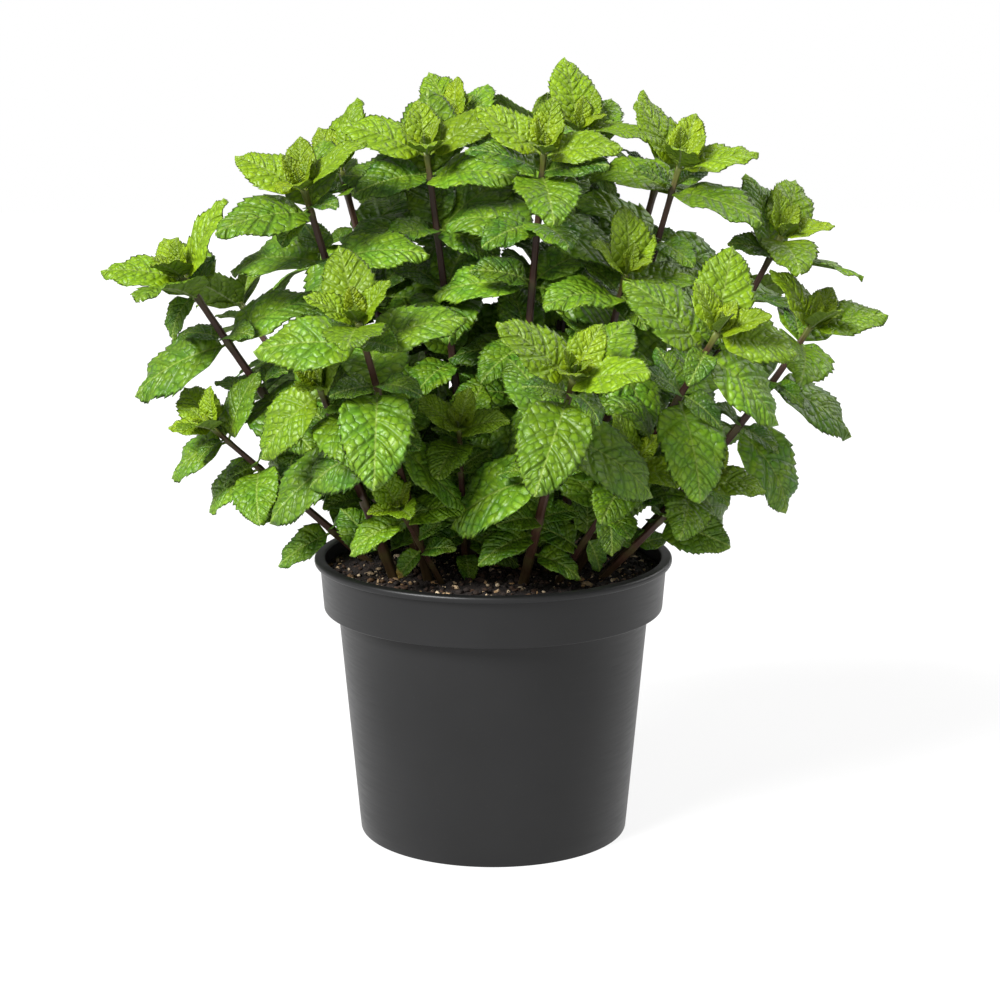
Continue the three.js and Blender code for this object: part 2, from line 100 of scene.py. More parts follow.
STEM_FOOT_SIDE = 4.6
STEM_TIP_SIDE = 2.5
STEM_BURIED = 14.0
BLADE = 0.7  # thickness of the frame's blades
BLADE_WIDTH = 0.63
PETIOLE_WIDTH = 1.7
PETIOLE_LENGTH = 3.6
BLADE_ENDS = (0.55, 0.825)  # how blunt the frame's blades are at the base and at the tip
FOLD = 0.16  # how steeply the halves rise from the midrib, as a slope
FACING = 0.75  # how far leaves turn their faces outwards as well as up, as a slope
NOD = 32  # a pair opens outwards as if its stem leaned out by at least this many degrees
FACING_LINE = 80  # they turn away from a line this far behind the middle
FACING_SPREAD = 0.3  # how much a place to the side of the middle turns them sideways
TURNING = 0.85  # share of that turn that a leaf makes
ROLL_LIMIT = 60
LEAST_CURL = 2
VARIES = {"round": 7, "pitch": 6, "curl": 12, "roll": 8, "length": 0.07}
TRIES = 40
TRY_STEP = 2.5
TRY_ROLL = 0.7
SHORTER_AFTER = 16  # tries at full length
SHORTER_STEP = 0.022  # length that each later try gives up
SAME_CORNER = 0.03  # points nearer to each other than this are one
SEED = 41

# Leaf pairs by number, from the tip down: [distance below the tip, length, pitch, curl]. Each stem of
# the frame says which of them it has there. The others are too small or too hidden for it, and grow here.
PAIRS = {
    -3: [0.0, 9, 78, 6],
    -2: [0.8, 17, 70, 14],
    -1: [2.2, 27, 58, 26],
    0: [3, 40, 46, 24],
    1: [13, 48, 30, 42],
    2: [38, 50, 14, 50],
    3: [66, 50, 4, 54],
    4: [98, 44, -2, 52],
    5: [124, 40, -4, 48],
    6: [148, 36, -6, 44],
    7: [170, 30, -4, 40],
    8: [190, 24, 4, 32],
}
SOIL_SHOWS_AT = -38.0  # in front of this line the soil shows
SOIL_IS_SEEN = 22.0  # over the pot's lip: no leaf that grows here hangs lower in front of it
CLEAR_OF_SOIL = 3.0
CLEAR_OF_POT = 12.0
FRAME_ROOM = 1.2  # thickness that the frame's leaves keep free, and then the others
EXTRA_ROOM = 0.9
EXTRA_TRIES = 14
SHOOT_TRIES = 9
# Low leaves over the soil in front: stem, distance below its tip, length, pitch, curl, direction in
# degrees from +X, and how dry they are.
LOW_LEAVES = [
    (25, 76, 17, -8, 50, 280, 0.0),
    (15, 29, 18, 0, 40, 222, 0.9),
    (15, 30, 23, 34, 40, -30, 0.0),
    (4, 79, 17, 14, 45, 285, 0.0),
    (14, 24, 24, -30, 40, 302, 0.0),
    (14, 47, 20, -30, 40, 335, 0.0),
    (12, 78, 34, 26, 30, 195, 0.0),
    (5, 104, 32, 12, 44, 205, 0.0),
    (14, 55, 30, 30, 40, 186, 0.0),
    (5, 118, 26, 20, 44, -20, 0.0),
]
LOWEST_PAIR_AT = 0.09  # share of a stem's length below which no leaf grows
INNER_MIDDLE = (0.0, 28.0)
INNER_REACH = 66.0  # nearer to the middle than this, side shoots bear larger leaves
INNER_SHOOTS = (38, 31, 24)  # lengths to try, from the largest down
OUTER_SHOOTS = (24,)
SHOOT_LENGTH_VARIES = 3
SHOOT_ABOVE = 2.5  # how far above its pair a side shoot grows
SHOOT_BEND = (34, 36)  # pitch and curl
SHOOT_TURN = 52  # degrees from the pair's own leaf
FIRST_SHOOT = 20  # these numbers of pairs are free for side shoots and for low leaves
FIRST_LOW_LEAF = 60

# Stems: foot (x, y), tip (x, y, z), lean, phase in degrees, size, first and last pair in the frame.
STEMS = [
    [(-53, 22), (-143, -10, 268), 0.54, 0, 1.05, (0, 4)],
    [(-36, 12), (-86, -22, 310), 0.5, 165, 1.0, (0, 4)],
    [(-9, 8), (-31, 8, 324), 0.42, 178, 1.04, (0, 4)],
    [(-30, -32), (-57, -106, 260), 0.47, 95, 1.0, (0, 4)],
    [(-13, -14), (-15, -62, 206), 0.5, 160, 0.7, (0, 2)],
    [(14, -38), (34, -122, 239), 0.5, 157, 0.98, (0, 3)],
    [(8, -4), (23, -32, 327), 0.45, 165, 0.96, (0, 4)],
    [(22, 18), (41, 42, 331), 0.5, 145, 1.02, (0, 4)],
    [(34, 6), (86, 0, 318), 0.5, 176, 1.03, (0, 4)],
    [(38, -20), (98, -80, 252), 0.5, 72, 1.02, (0, 3)],
    [(52, 20), (135, 12, 284), 0.54, 90, 0.98, (0, 4)],
    [(56, 1), (148, -4, 244), 0.62, 2, 0.97, (0, 4)],
    [(-60, 8), (-131, -12, 197), 0.5, 95, 0.8, (0, 2)],
    [(-14, 30), (-18, 68, 334), 0.5, 140, 0.95, (0, 3)],
    [(30, -34), (62, -70, 190), 0.5, 150, 0.75, (0, 1)],
    [(-24, -36), (-42, -66, 170), 0.48, 120, 0.62, (0, 1)],
    [(-26, 34), (-74, 58, 312), 0.5, 30, 1.0, (0, 3)],
    [(-43, 43), (-127, 88, 242), 0.52, 60, 1.0, (0, 3)],
    [(-12, 56), (-48, 112, 288), 0.54, 10, 1.02, (0, 3)],
    [(8, 42), (26, 98, 322), 0.52, 0, 1.0, (0, 3)],
    [(30, 48), (82, 70, 312), 0.52, 140, 1.02, (0, 3)],
    [(22, 57), (40, 116, 238), 0.54, 170, 1.0, (0, 3)],
    [(45, 38), (122, 88, 246), 0.54, 130, 1.0, (0, 3)],
    [(-26, 54), (-70, 124, 204), 0.54, 20, 0.9, (0, 2)],
    [(50, -26), (94, -56, 182), 0.52, 170, 0.8, (0, 1)],
    [(-46, -24), (-76, -72, 226), 0.5, 175, 1.0, (0, 2)],
    [(26, -17), (60, -36, 272), 0.5, 130, 0.95, (0, 3)],
]

# Leaves that lie otherwise than the rule has them. By stem's number, then by (pair, side): the degrees
# further round the stem, the degrees of pitch and of curl added, and the share of the length.
BENT = {
    1: {(1, 1): (0, 34, 0, 1), (2, 0): (0, 7, 0, 1.05)},
    2: {(1, 0): (-36, 6, 0, 1), (1, 1): (0, 16, 0, 1), (2, 1): (0, 14, 0, 1.12)},
    3: {(1, 0): (48, 10, 0, 1), (2, 0): (0, 26, 0, 1), (2, 1): (0, 22, 0, 1), (3, 1): (0, 36, 0, 1)},
    4: {(1, 0): (0, -8, 0, 1), (1, 1): (0, -8, 0, 1), (3, 0): (0, -48, 0, 1)},
    6: {(1, 0): (8, -26, 0, 1), (2, 1): (-40, 20, 0, 1), (3, 0): (-30, 0, 0, 1),
        (3, 1): (-62, -14, 0, 1.25)},
    7: {(0, 0): (0, -12, 0, 1), (0, 1): (0, -12, 0, 1), (1, 0): (18, -6, 0, 1), (3, 0): (-75, 0, 0, 1),
        (3, 1): (-75, 0, 0, 1)},
    8: {(1, 1): (0, 20, 0, 1)},
    9: {(1, 0): (48, 14, 0, 1), (1, 1): (84, -26, 10, 1), (2, 1): (0, 14, 0, 1)},
    10: {(0, 0): (28, 0, 0, 1), (0, 1): (80, 6, 0, 1), (1, 1): (0, -26, 10, 1),
        (2, 0): (32, -10, 0, 1), (3, 0): (-70, 0, 0, 1)},
    11: {(0, 1): (10, -34, 0, 1), (1, 0): (0, 26, 0, 1), (1, 1): (0, 40, -10, 1)},
    12: {(0, 0): (0, 14, 0, 1), (0, 1): (0, 20, 0, 1), (2, 0): (0, 40, 0, 1), (2, 1): (-8, 14, 8, 1),
        (3, 0): (64, 12, 14, 1.08)},
    13: {(0, 1): (0, 22, 0, 1), (2, 1): (84, 16, 0, 1)},
    26: {(0, 0): (30, -52, 20, 1), (1, 0): (30, -20, 0, 1), (2, 1): (20, -16, 0, 1)},
}
AS_USUAL = (0, 0, 0, 1)

# ---- The finer leaf ----

# Meshes for leaves down to a length: columns on each side of the midrib, rows for each tooth.
LEAF_GRIDS = [(30, 10, 4), (18, 8, 3), (0, 5, 2)]
TEETH = 15
VEIN_PAIRS = 6  # each gap between side veins holds two rows of quilted cells
VEIN_SLANT = 0.27  # how far a side vein runs forward, as a share of the length
VEIN_ANGLE = 41.0  # degrees by which side veins lean forward
CELL_LENGTH = 3.5  # of the net of veins, along a side vein of a leaf of FULL_LENGTH
THICKNESS = 0.42
QUILTING = 0.34  # height of the bulges between side veins on a leaf of FULL_LENGTH
FULL_LENGTH = 50.0
TOOTH = 0.1  # height of a tooth as a share of the leaf's half width
TOOTH_ZONE = 0.75  # share of the half width where teeth begin
FINE_ENDS = (0.54, 0.74)  # rounder at the base and blunter at the tip than the frame's
BASE_ZONE = 0.16  # share of the length over which the blade widens from the petiole
YOUNG_NARROWER = 0.1
YOUNG_FOLD = 0.3  # how much more steeply young leaves are folded, as a slope
VEIN_GROOVE = 0.2
RIB_GROOVE = 0.5
RIB_WIDTH = 0.7
KEEL = 0.5  # how far the midrib stands out underneath
FOLD_ROUND = 1.1  # width of the round stretch at the midrib
MARGIN_DROP = 2.8
WAVES = 1.5  # height of the margin's waves
YOUNG_FROM = 40.0  # leaves shorter than this look young
YOUNG_TO = 10.0
PETIOLE_ROWS = 2
PETIOLE_DEPTH = 0.75
CHANNEL = 0.15  # depth of the petiole's groove
AGES = {-3: 0.0, -2: 0.02, -1: 0.08, 0: 0.22, 1: 0.42, 2: 0.58, 3: 0.68, 4: 0.76}  # of each pair
OLDEST = 0.86

# ---- Stalks ----

STALK_AROUND = 20
STALK_STEP = 3.2
STALK_GROOVE = 0.13  # depth of the grooves in the four sides, as a share of the radius
SQUARENESS = 5
KNOT_REACH = 2.4
KNOT_SWELL = 0.2
OUTLINE_RINGS = 12
OUTLINE_REACH = 0.6  # from a stalk's middle to the corners of its outline, as a share of its side


def rad(degrees):
    return math.radians(degrees)


# ---- Seeded draws ----

WORD = 0xFFFFFFFF
FINE_SHAPE = 77  # the key of the draws for a leaf's waves, blotches and tint


def draw(*keys):
    """A number from -1 to 1 that depends only on its keys."""
    factors = (0x9E3779B1, 0x85EBCA6B, 0xC2B2AE35, 0x27D4EB2F, 0x6D2B79F5)
    t = (SEED + sum((key + 1) * factor for key, factor in zip(keys, factors))) & WORD
    t = ((t ^ (t >> 15)) * (t | 1)) & WORD
    t ^= (t + (t ^ (t >> 7)) * (t | 61)) & WORD
    return ((t ^ (t >> 14)) & WORD) / (WORD + 1) * 2 - 1


# ---- Meshes ----


class Pile:
    """Gathers the points, faces and values of many forms into one mesh."""

    def __init__(self):
        self.points = []
        self.corners = []
        self.sizes = []
        self.values = {}
        self.maps = []
        self.count = 0

    def add(self, points, corners, sizes, uv=None, **values):
        """corners are the point numbers of every face in turn, and sizes how many each face has."""
        self.points.append(points)
        self.corners.append(corners + self.count)
        self.sizes.append(sizes)
        for name, value in values.items():
            self.values.setdefault(name, []).append(np.broadcast_to(value, (len(points), 3)))
        if uv is not None:
            self.maps.append(uv)
        self.count += len(points)

    def mesh(self, name):
        mesh = bpy.data.meshes.new(name)
        points = np.concatenate(self.points) * MM
        corners = np.concatenate(self.corners)
        sizes = np.concatenate(self.sizes)
        mesh.vertices.add(len(points))
        mesh.vertices.foreach_set("co", points.ravel())
        mesh.loops.add(len(corners))
        mesh.loops.foreach_set("vertex_index", corners)
        mesh.polygons.add(len(sizes))
        mesh.polygons.foreach_set("loop_start", np.concatenate([[0], np.cumsum(sizes)[:-1]]))
        mesh.update(calc_edges=True)
        mesh.shade_smooth()
        for key, parts in self.values.items():
            attribute = mesh.attributes.new(key, "FLOAT_VECTOR", "POINT")
            attribute.data.foreach_set("vector", np.concatenate(parts).ravel())
        if self.maps:
            layer = mesh.uv_layers.new(name="OFBake")
            layer.data.foreach_set("uv", np.concatenate(self.maps).ravel())
        mesh.validate()
        return mesh


def new_object(mesh, material):
    piece = bpy.data.objects.new(mesh.name, mesh)
    bpy.context.scene.collection.objects.link(piece)
    mesh.materials.append(material)
    return piece


def add_piece(mesh, material, slot, *replaced):
    """A piece of the plant that rides on its body and stands for the named solids."""
    piece = new_object(mesh, material)
    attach(piece, "root")
    if replaced:
        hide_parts(*replaced)
    return piece


def ring_faces(rings, around, closed=True):
    """Corners and sizes of the quads between rings of points, and of the two end faces."""
    r, c = np.meshgrid(np.arange(rings - 1), np.arange(around), indexing="ij")
    a = r * around + c
    b = r * around + (c + 1) % around
    quads = np.stack([a, b, b + around, a + around], axis=-1).reshape(-1)
    sizes = np.full((rings - 1) * around, 4)
    if closed:
        first = np.arange(around)[::-1]
        last = (rings - 1) * around + np.arange(around)
        quads = np.concatenate([quads, first, last])
        sizes = np.concatenate([sizes, [around, around]])
    return quads, sizes


# ---- Shader helpers ----


class Shader:
    """The node tree of a new material or world, with short calls to add nodes."""

    def __init__(self, name, kind="materials", output="OutputMaterial"):
        self.owner = getattr(bpy.data, kind).new(name)
        self.owner.use_nodes = True
        self.tree = self.owner.node_tree
        self.tree.nodes.clear()
        self.output = self.node(output)

    def node(self, kind, settings=None, **inputs):
        made = self.tree.nodes.new("ShaderNode" + kind)
        for key, value in (settings or {}).items():
            setattr(made, key, value)
        for key, value in inputs.items():
            self.feed(made.inputs[key.replace("_", " ")], value)
        return made

    def feed(self, socket, value):
        if isinstance(value, bpy.types.NodeSocket):
            self.tree.links.new(value, socket)
        else:
            socket.default_value = value

    def feed_in_turn(self, made, *values):
        for socket, value in zip(made.inputs, values):
            self.feed(socket, value)
        return made.outputs[0]

    def math(self, operation, *values):
        return self.feed_in_turn(self.node("Math", {"operation": operation}), *values)

    def times(self, a, b):
        return self.math("MULTIPLY", a, b)

    def mix(self, factor, a, b, blend="MIX"):
        made = self.node("Mix", {"data_type": "RGBA", "blend_type": blend})
        for place, value in zip((0, 6, 7), (factor, a, b)):
            self.feed(made.inputs[place], value)
        return made.outputs[2]

    def ramp(self, value, *stops):
        """A colour ramp. Each stop is (position, colour)."""
        made = self.node("ValToRGB")
        elements = made.color_ramp.elements
        while len(elements) < len(stops):
            elements.new(0.5)
        for element, (position, colour) in zip(elements, stops):
            element.position = position
            element.color = colour
        return self.feed_in_turn(made, value)

    def scale(self, value, low, high, to_low=0.0, to_high=1.0, curve="LINEAR"):
        """The value carried from one range to another, and held inside it."""
        made = self.node("MapRange", {"interpolation_type": curve})
        return self.feed_in_turn(made, value, low, high, to_low, to_high)

    def attribute(self, name):
        """The three numbers of a value on the mesh."""
        made = self.node("Attribute", {"attribute_name": name})
        return self.node("SeparateXYZ", Vector=made.outputs["Vector"]).outputs

    def vector(self, name):
        return self.node("Attribute", {"attribute_name": name}).outputs["Vector"]

    def position(self):
        return self.node("NewGeometry").outputs["Position"]

    def stretched(self, vector, *scale):
        return self.node("Mapping", Vector=vector, Scale=scale).outputs[0]

    def noise(self, vector, scale, detail=2.0, roughness=0.5):
        made = self.node("TexNoise", Vector=vector, Scale=scale, Detail=detail, Roughness=roughness)
        return made.outputs["Fac"]

    def cells(self, feature, vector):
        """Distances in the ragged cells of the net of veins, which are about one unit wide."""
        settings = {"feature": feature, "voronoi_dimensions": "2D"}
        made = self.node("TexVoronoi", settings, Vector=vector, Scale=1.0, Randomness=0.78)
        return made.outputs["Distance"]

    def bump(self, height, strength, distance, normal=None):
        made = self.node("Bump", Height=height, Strength=strength, Distance=distance)
        if normal is not None:
            self.feed(made.inputs["Normal"], normal)
        return made.outputs[0]

    def blend(self, share, first, second):
        """Ends the tree with a mix of two shaders."""
        made = self.node("MixShader", Fac=share)
        self.feed(made.inputs[1], first.outputs[0])
        self.feed(made.inputs[2], second.outputs[0])
        return self.finish(made)

    def plain(self, **inputs):
        """Ends the tree with one common shader."""
        return self.finish(self.node("BsdfPrincipled", **inputs))

    def finish(self, made):
        self.tree.links.new(made.outputs[0], self.output.inputs["Surface"])
        return self.owner


def rgb(red, green, blue):
    return (red, green, blue, 1.0)


# ---- Materials ----


def leaf_green(shader, age, tint, place):
    """Young leaves are yellow-green, old ones dark, and all have lighter blotches."""
    green = shader.ramp(
        age,
        (0.0, rgb(0.255, 0.355, 0.006)),
        (0.25, rgb(0.155, 0.280, 0.006)),
        (0.5, rgb(0.100, 0.226, 0.012)),
        (0.75, rgb(0.062, 0.168, 0.010)),
        (1.0, rgb(0.030, 0.094, 0.006)),
    )
    blotches = shader.scale(shader.noise(place, 0.11, 3.0), 0.35, 0.75)
    green = shader.mix(blotches, green, rgb(0.145, 0.245, 0.008))
    value = shader.scale(tint, -1, 1, 0.78, 1.22)
    return shader.node("HueSaturation", Value=value, Color=green).outputs[0]


def vein_net(shader, tint, wobble):
    """How deep a spot lies in a vein, and how high on a bulge. A side vein runs along every second
    row, and a ragged mesh of small veins lies between them."""
    across, along, side = shader.attribute("leaf_net")
    other_side = shader.times(shader.math("GREATER_THAN", side, 0.0), 31.0)
    shift = shader.math("MULTIPLY_ADD", tint, 40.0, other_side)
    bent = shader.times(wobble, 0.6)
    x = shader.math("ADD", shader.math("ADD", across, bent), shift)
    spot = shader.node("CombineXYZ", X=x, Y=shader.math("ADD", along, bent)).outputs[0]
    from_vein = shader.math("PINGPONG", along, 1.0)
    vein = shader.scale(from_vein, 0.0, 0.2, 1.0, 0.0)
    edge = shader.cells("DISTANCE_TO_EDGE", spot)
    line = shader.scale(edge, 0.02, 0.24, 1.0, 0.0, curve="SMOOTHSTEP")
    groove = shader.math("MAXIMUM", vein, line)
    from_middle = shader.times(shader.cells("F1", spot), 1.25)
    round_top = shader.math("SUBTRACT", 1.0, shader.math("POWER", from_middle, 2.0))
    bed = shader.scale(from_vein, 0.0, 0.5, 0.25, 1.0, curve="SMOOTHSTEP")
    return groove, shader.times(round_top, bed)


def leaf_material():
    """Values on the mesh: leaf_look is age, tint and dryness, leaf_lines is the distance from the
    midrib in mm, how quilted it is and whether this is the underside, leaf_net is the place in the
    net of veins, counted in cells, and leaf_place is the place on the blade in mm."""
    shader = Shader("mint_leaf")
    age, tint, dry = shader.attribute("leaf_look")
    from_rib, quilted, under = shader.attribute("leaf_lines")
    place = shader.vector("leaf_place")
    wobble = shader.noise(place, 0.35, 2.0)
    groove, dome = vein_net(shader, tint, wobble)

    green = leaf_green(shader, age, tint, place)
    # dark is painted shade: it darkens the green in the grooves of the veins, where shade falls in the
    # creases
    dark = shader.mix(1.0, green, rgb(0.46, 0.54, 0.40), "MULTIPLY")
    # light is painted light: it brightens the green on the tops of the quilted bulges, where highlights
    # fall
    light = shader.mix(1.0, green, rgb(1.18, 1.14, 1.15), "MULTIPLY")
    green = shader.mix(dome, green, light)
    green = shader.mix(shader.times(groove, shader.scale(age, 0.02, 0.3, 0.24, 0.62)), green, dark)
    midrib = shader.scale(from_rib, 0.2, 0.65, 1.0, 0.0, curve="SMOOTHSTEP")
    green = shader.mix(shader.times(midrib, 0.7), green, rgb(0.240, 0.340, 0.060))
    pale = shader.mix(0.4, green, rgb(0.130, 0.230, 0.030))
    pale = shader.mix(shader.times(groove, 0.35), pale, rgb(0.220, 0.300, 0.100))
    pale = shader.mix(midrib, pale, rgb(0.280, 0.340, 0.150))
    colour = shader.mix(under, green, pale)
    dried = shader.scale(shader.math("MULTIPLY_ADD", wobble, 0.5, dry), 0.7, 0.95)
    colour = shader.mix(dried, colour, rgb(0.330, 0.230, 0.050))

    bump = shader.bump(shader.times(dome, quilted), 1.0, 1.05 * MM)
    bump = shader.bump(shader.noise(place, 2.2, 2.0), 0.2, 0.1 * MM, bump)
    gloss = shader.scale(shader.noise(place, 0.5, 2.0), 0.3, 0.7, 0.36, 0.46)
    gloss = shader.math("MULTIPLY_ADD", under, 0.3, gloss)
    face = shader.node("BsdfPrincipled", Base_Color=colour, Roughness=gloss, IOR=1.4, Normal=bump)
    glow = shader.mix(0.5, colour, rgb(0.300, 0.400, 0.008))
    through = shader.node("BsdfTranslucent", Color=glow, Normal=bump)
    return shader.blend(shader.scale(age, 0.1, 0.6, 0.34, 0.22), face, through)


def stalk_material():
    """Dark purple stems, green at the tip and brown at the soil. The values on the mesh are the
    share of the height and how near a leaf pair is."""
    shader = Shader("mint_stalk")
    share, knot, _ = shader.attribute("stalk_place")
    colour = shader.ramp(
        share,
        (0.0, rgb(0.050, 0.034, 0.012)),
        (0.2, rgb(0.046, 0.020, 0.012)),
        (0.8, rgb(0.034, 0.012, 0.009)),
        (0.94, rgb(0.044, 0.022, 0.010)),
        (1.0, rgb(0.120, 0.160, 0.014)),
    )
    mottled = shader.noise(shader.stretched(shader.position(), 900.0, 900.0, 90.0), 1.0, 3.0)
    colour = shader.mix(shader.scale(mottled, 0.5, 0.75, 0.0, 0.5), colour, rgb(0.062, 0.036, 0.018))
    colour = shader.mix(shader.times(knot, 0.5), colour, rgb(0.070, 0.078, 0.018))
    bump = shader.bump(mottled, 0.35, 0.2 * MM)
    gloss = shader.scale(mottled, 0.3, 0.7, 0.36, 0.54)
    return shader.plain(Base_Color=colour, Roughness=gloss, IOR=1.36, Normal=bump)


def pot_material():
    """Moulded dark grey plastic with a fine grain and faint scuffs."""
    shader = Shader("pot_plastic")
    position = shader.position()
    clouds = shader.scale(shader.noise(position, 18.0, 3.0), 0.3, 0.7)
    colour = shader.mix(clouds, rgb(0.0050, 0.0050, 0.0052), rgb(0.0075, 0.0075, 0.0078))
    specks = shader.scale(shader.noise(position, 900.0, 1.0), 0.7, 0.85, 0.0, 0.2)
    colour = shader.mix(specks, colour, rgb(0.040, 0.040, 0.042))
    scuffs = shader.noise(shader.stretched(position, 60.0, 60.0, 900.0), 1.0, 2.0)
    gloss = shader.scale(scuffs, 0.3, 0.8, 0.38, 0.46)
    bump = shader.bump(shader.noise(position, 1500.0, 2.0), 0.12, 0.1 * MM)
    bump = shader.bump(scuffs, 0.03, 0.1 * MM, bump)
    return shader.plain(Base_Color=colour, Roughness=gloss, IOR=1.36, Normal=bump)


def soil_material():
    shader = Shader("potting_soil")
    lumps = shader.noise(shader.position(), 260.0, 4.0, 0.65)
    colour = shader.ramp(
        lumps,
        (0.3, rgb(0.004, 0.002, 0.0014)),
        (0.55, rgb(0.012, 0.006, 0.0035)),
        (0.75, rgb(0.040, 0.020, 0.009)),
    )
    bump = shader.bump(lumps, 0.9, 1.2 * MM)
    return shader.plain(Base_Color=colour, Roughness=0.95, Normal=bump)


def crumb_material():
    """Loose bits on the soil, with their shade on the mesh."""
    shader = Shader("soil_crumbs")
    shade = shader.attribute("crumb_shade")[0]
    colour = shader.ramp(
        shade,
        (0.0, rgb(0.004, 0.002, 0.0015)),
        (0.55, rgb(0.016, 0.008, 0.0045)),
        (0.8, rgb(0.060, 0.028, 0.012)),
        (0.93, rgb(0.260, 0.150, 0.060)),
        (1.0, rgb(0.600, 0.480, 0.320)),
    )
    grain = shader.noise(shader.position(), 1300.0, 3.0)
    colour = shader.mix(shader.scale(grain, 0.4, 0.7, 0.0, 0.5), colour, rgb(0.010, 0.006, 0.004))
    bump = shader.bump(grain, 0.7, 0.4 * MM)
    return shader.plain(Base_Color=colour, Roughness=0.9, Normal=bump)


def stage_material():
    shader = Shader("stage_white")
    paper = shader.scale(shader.noise(shader.position(), 3.0, 2.0), 0.3, 0.7)
    colour = shader.mix(paper, rgb(0.125, 0.125, 0.125), rgb(0.135, 0.135, 0.135))
    shine = {"Emission_Color": rgb(1, 1, 1), "Emission_Strength": STAGE_GLOW}
    return shader.plain(Base_Color=colour, Roughness=0.9, **shine)


# ---- Pot ----


def arc(centre, radius, start, end, steps=5):
    """Points of a profile on an arc, angles in degrees from the radius outwards to up."""
    angles = np.radians(np.linspace(start, end, steps))
    return [(centre[0] + radius * math.cos(a), centre[1] + radius * math.sin(a)) for a in angles]


COLLAR_EDGE = POT_HEIGHT - COLLAR_DEPTH
COLLAR_TOP = POT_HEIGHT - LIP_DEPTH
NECK_RADIUS = LIP_RADIUS - LIP_WIDTH
MOUTH_RADIUS = NECK_RADIUS - WALL - ROUNDING
FLOOR_TOP = FOOT_DEPTH + WALL
LEDGE_RADIUS = COLLAR_RADIUS - WALL
LEDGE_TOP = COLLAR_EDGE + WALL


def pot_profile():
    """From the middle of the underside, round the outside and the lip, to the middle of the floor."""
    lip = 1.25  # rounding of the lip's outer edges
    small = 0.6
    taper = (BODY_RADIUS - FOOT_RADIUS) / COLLAR_EDGE
    inside = FOOT_RADIUS - FOOT_WIDTH
    return [
        (0, FOOT_DEPTH),
        (30, FOOT_DEPTH),
        *arc((inside - 1.0, FOOT_DEPTH - 1.0), 1.0, 90, 0, 4),
        (inside, 0),
        *arc((FOOT_RADIUS - 0.3, 0.3), 0.3, -90, 0, 3),
        *[(FOOT_RADIUS + taper * z, z) for z in (8, 30, 60, 90)],
        *arc((BODY_RADIUS + small, COLLAR_EDGE - small), small, 180, 90, 4),
        *arc((COLLAR_RADIUS - ROUNDING, COLLAR_EDGE + ROUNDING), ROUNDING, -90, 0),
        *arc((NECK_RADIUS + small, COLLAR_TOP - small), small, 180, 90, 4),
        *arc((LIP_RADIUS - lip, COLLAR_TOP + lip), lip, -90, 0),
        *arc((LIP_RADIUS - lip, POT_HEIGHT - lip), lip, 0, 90),
        *arc((MOUTH_RADIUS + ROUNDING, POT_HEIGHT - ROUNDING), ROUNDING, 90, 180, 4),
        (LEDGE_RADIUS, LEDGE_TOP),
        (LEDGE_RADIUS - 0.6, LEDGE_TOP - 0.4),
        (BODY_RADIUS - WALL, LEDGE_TOP - 1),
        (FOOT_RADIUS - WALL, FLOOR_TOP + 1),
        (FOOT_RADIUS - WALL - 1, FLOOR_TOP),
        (30, FLOOR_TOP),
        (0, FLOOR_TOP),
    ]


def turned(profile, segments):
    """A profile turned round the Z axis: one ring of points for each point of the profile."""
    angles = np.arange(segments) / segments * 2 * math.pi
    profile = np.array(profile, float)
    points = np.empty((len(profile), segments, 3))
    points[:, :, 0] = profile[:, None, 0] * np.cos(angles)
    points[:, :, 1] = profile[:, None, 0] * np.sin(angles)
    points[:, :, 2] = profile[:, None, 1]
    return points


def pole_faces(rings, around):
    """Faces of a turned solid whose first and last points lie on the axis, after all the rings."""
    sides, sizes = ring_faces(rings, around, closed=False)
    c = np.arange(around)
    low, high = rings * around, rings * around + 1
    last = (rings - 1) * around
    bottom = np.stack([np.full(around, low), (c + 1) % around, c], axis=1)
    top = np.stack([np.full(around, high), last + c, last + (c + 1) % around], axis=1)
    corners = np.concatenate([sides, bottom.reshape(-1), top.reshape(-1)])
    return corners, np.concatenate([sizes, np.full(2 * around, 3)])


def turned_solid(pile, profile, segments):
    """Adds a closed solid of revolution. The profile runs from the axis below to the axis above."""
    rings = turned(profile[1:-1], segments).reshape(-1, 3)
    poles = np.array([(0, 0, profile[0][1]), (0, 0, profile[-1][1])], float)
    corners, sizes = pole_faces(len(profile) - 2, segments)
    pile.add(np.concatenate([rings, poles]), corners, sizes)


def drill_drains(piece):
    """Cuts the drain holes through the pot's floor."""
    pile = Pile()
    for i in range(DRAIN_COUNT):
        angle = (i + 0.5) / DRAIN_COUNT * 2 * math.pi
        ends = [(DRAIN_RADIUS, FOOT_DEPTH - 2), (DRAIN_RADIUS, FLOOR_TOP + 2)]
        rings = turned(ends, DRAIN_SEGMENTS)
        rings += np.array([math.cos(angle), math.sin(angle), 0]) * DRAIN_CIRCLE
        pile.add(rings.reshape(-1, 3), *ring_faces(2, DRAIN_SEGMENTS))
    drills = new_object(pile.mesh("drills"), piece.data.materials[0])
    cut = piece.modifiers.new("drains", "BOOLEAN")
    cut.operation = "DIFFERENCE"
    cut.object = drills
    cut.solver = "EXACT"
    whole = piece.evaluated_get(bpy.context.evaluated_depsgraph_get())
    piece.data = bpy.data.meshes.new_from_object(whole)
    piece.modifiers.clear()
    bpy.data.objects.remove(drills)


def make_pot():
    pile = Pile()
    turned_solid(pile, pot_profile(), POT_SEGMENTS)
    piece = new_object(pile.mesh("pot_shell"), pot_material())
    drill_drains(piece)
    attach(piece, "root")
    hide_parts("pot")


# ---- Soil ----

SOIL_SHARE = (SOIL_EDGE - LEDGE_TOP) / (POT_HEIGHT - ROUNDING - LEDGE_TOP)
SOIL_RADIUS = LEDGE_RADIUS + (MOUTH_RADIUS - LEDGE_RADIUS) * SOIL_SHARE - GAP


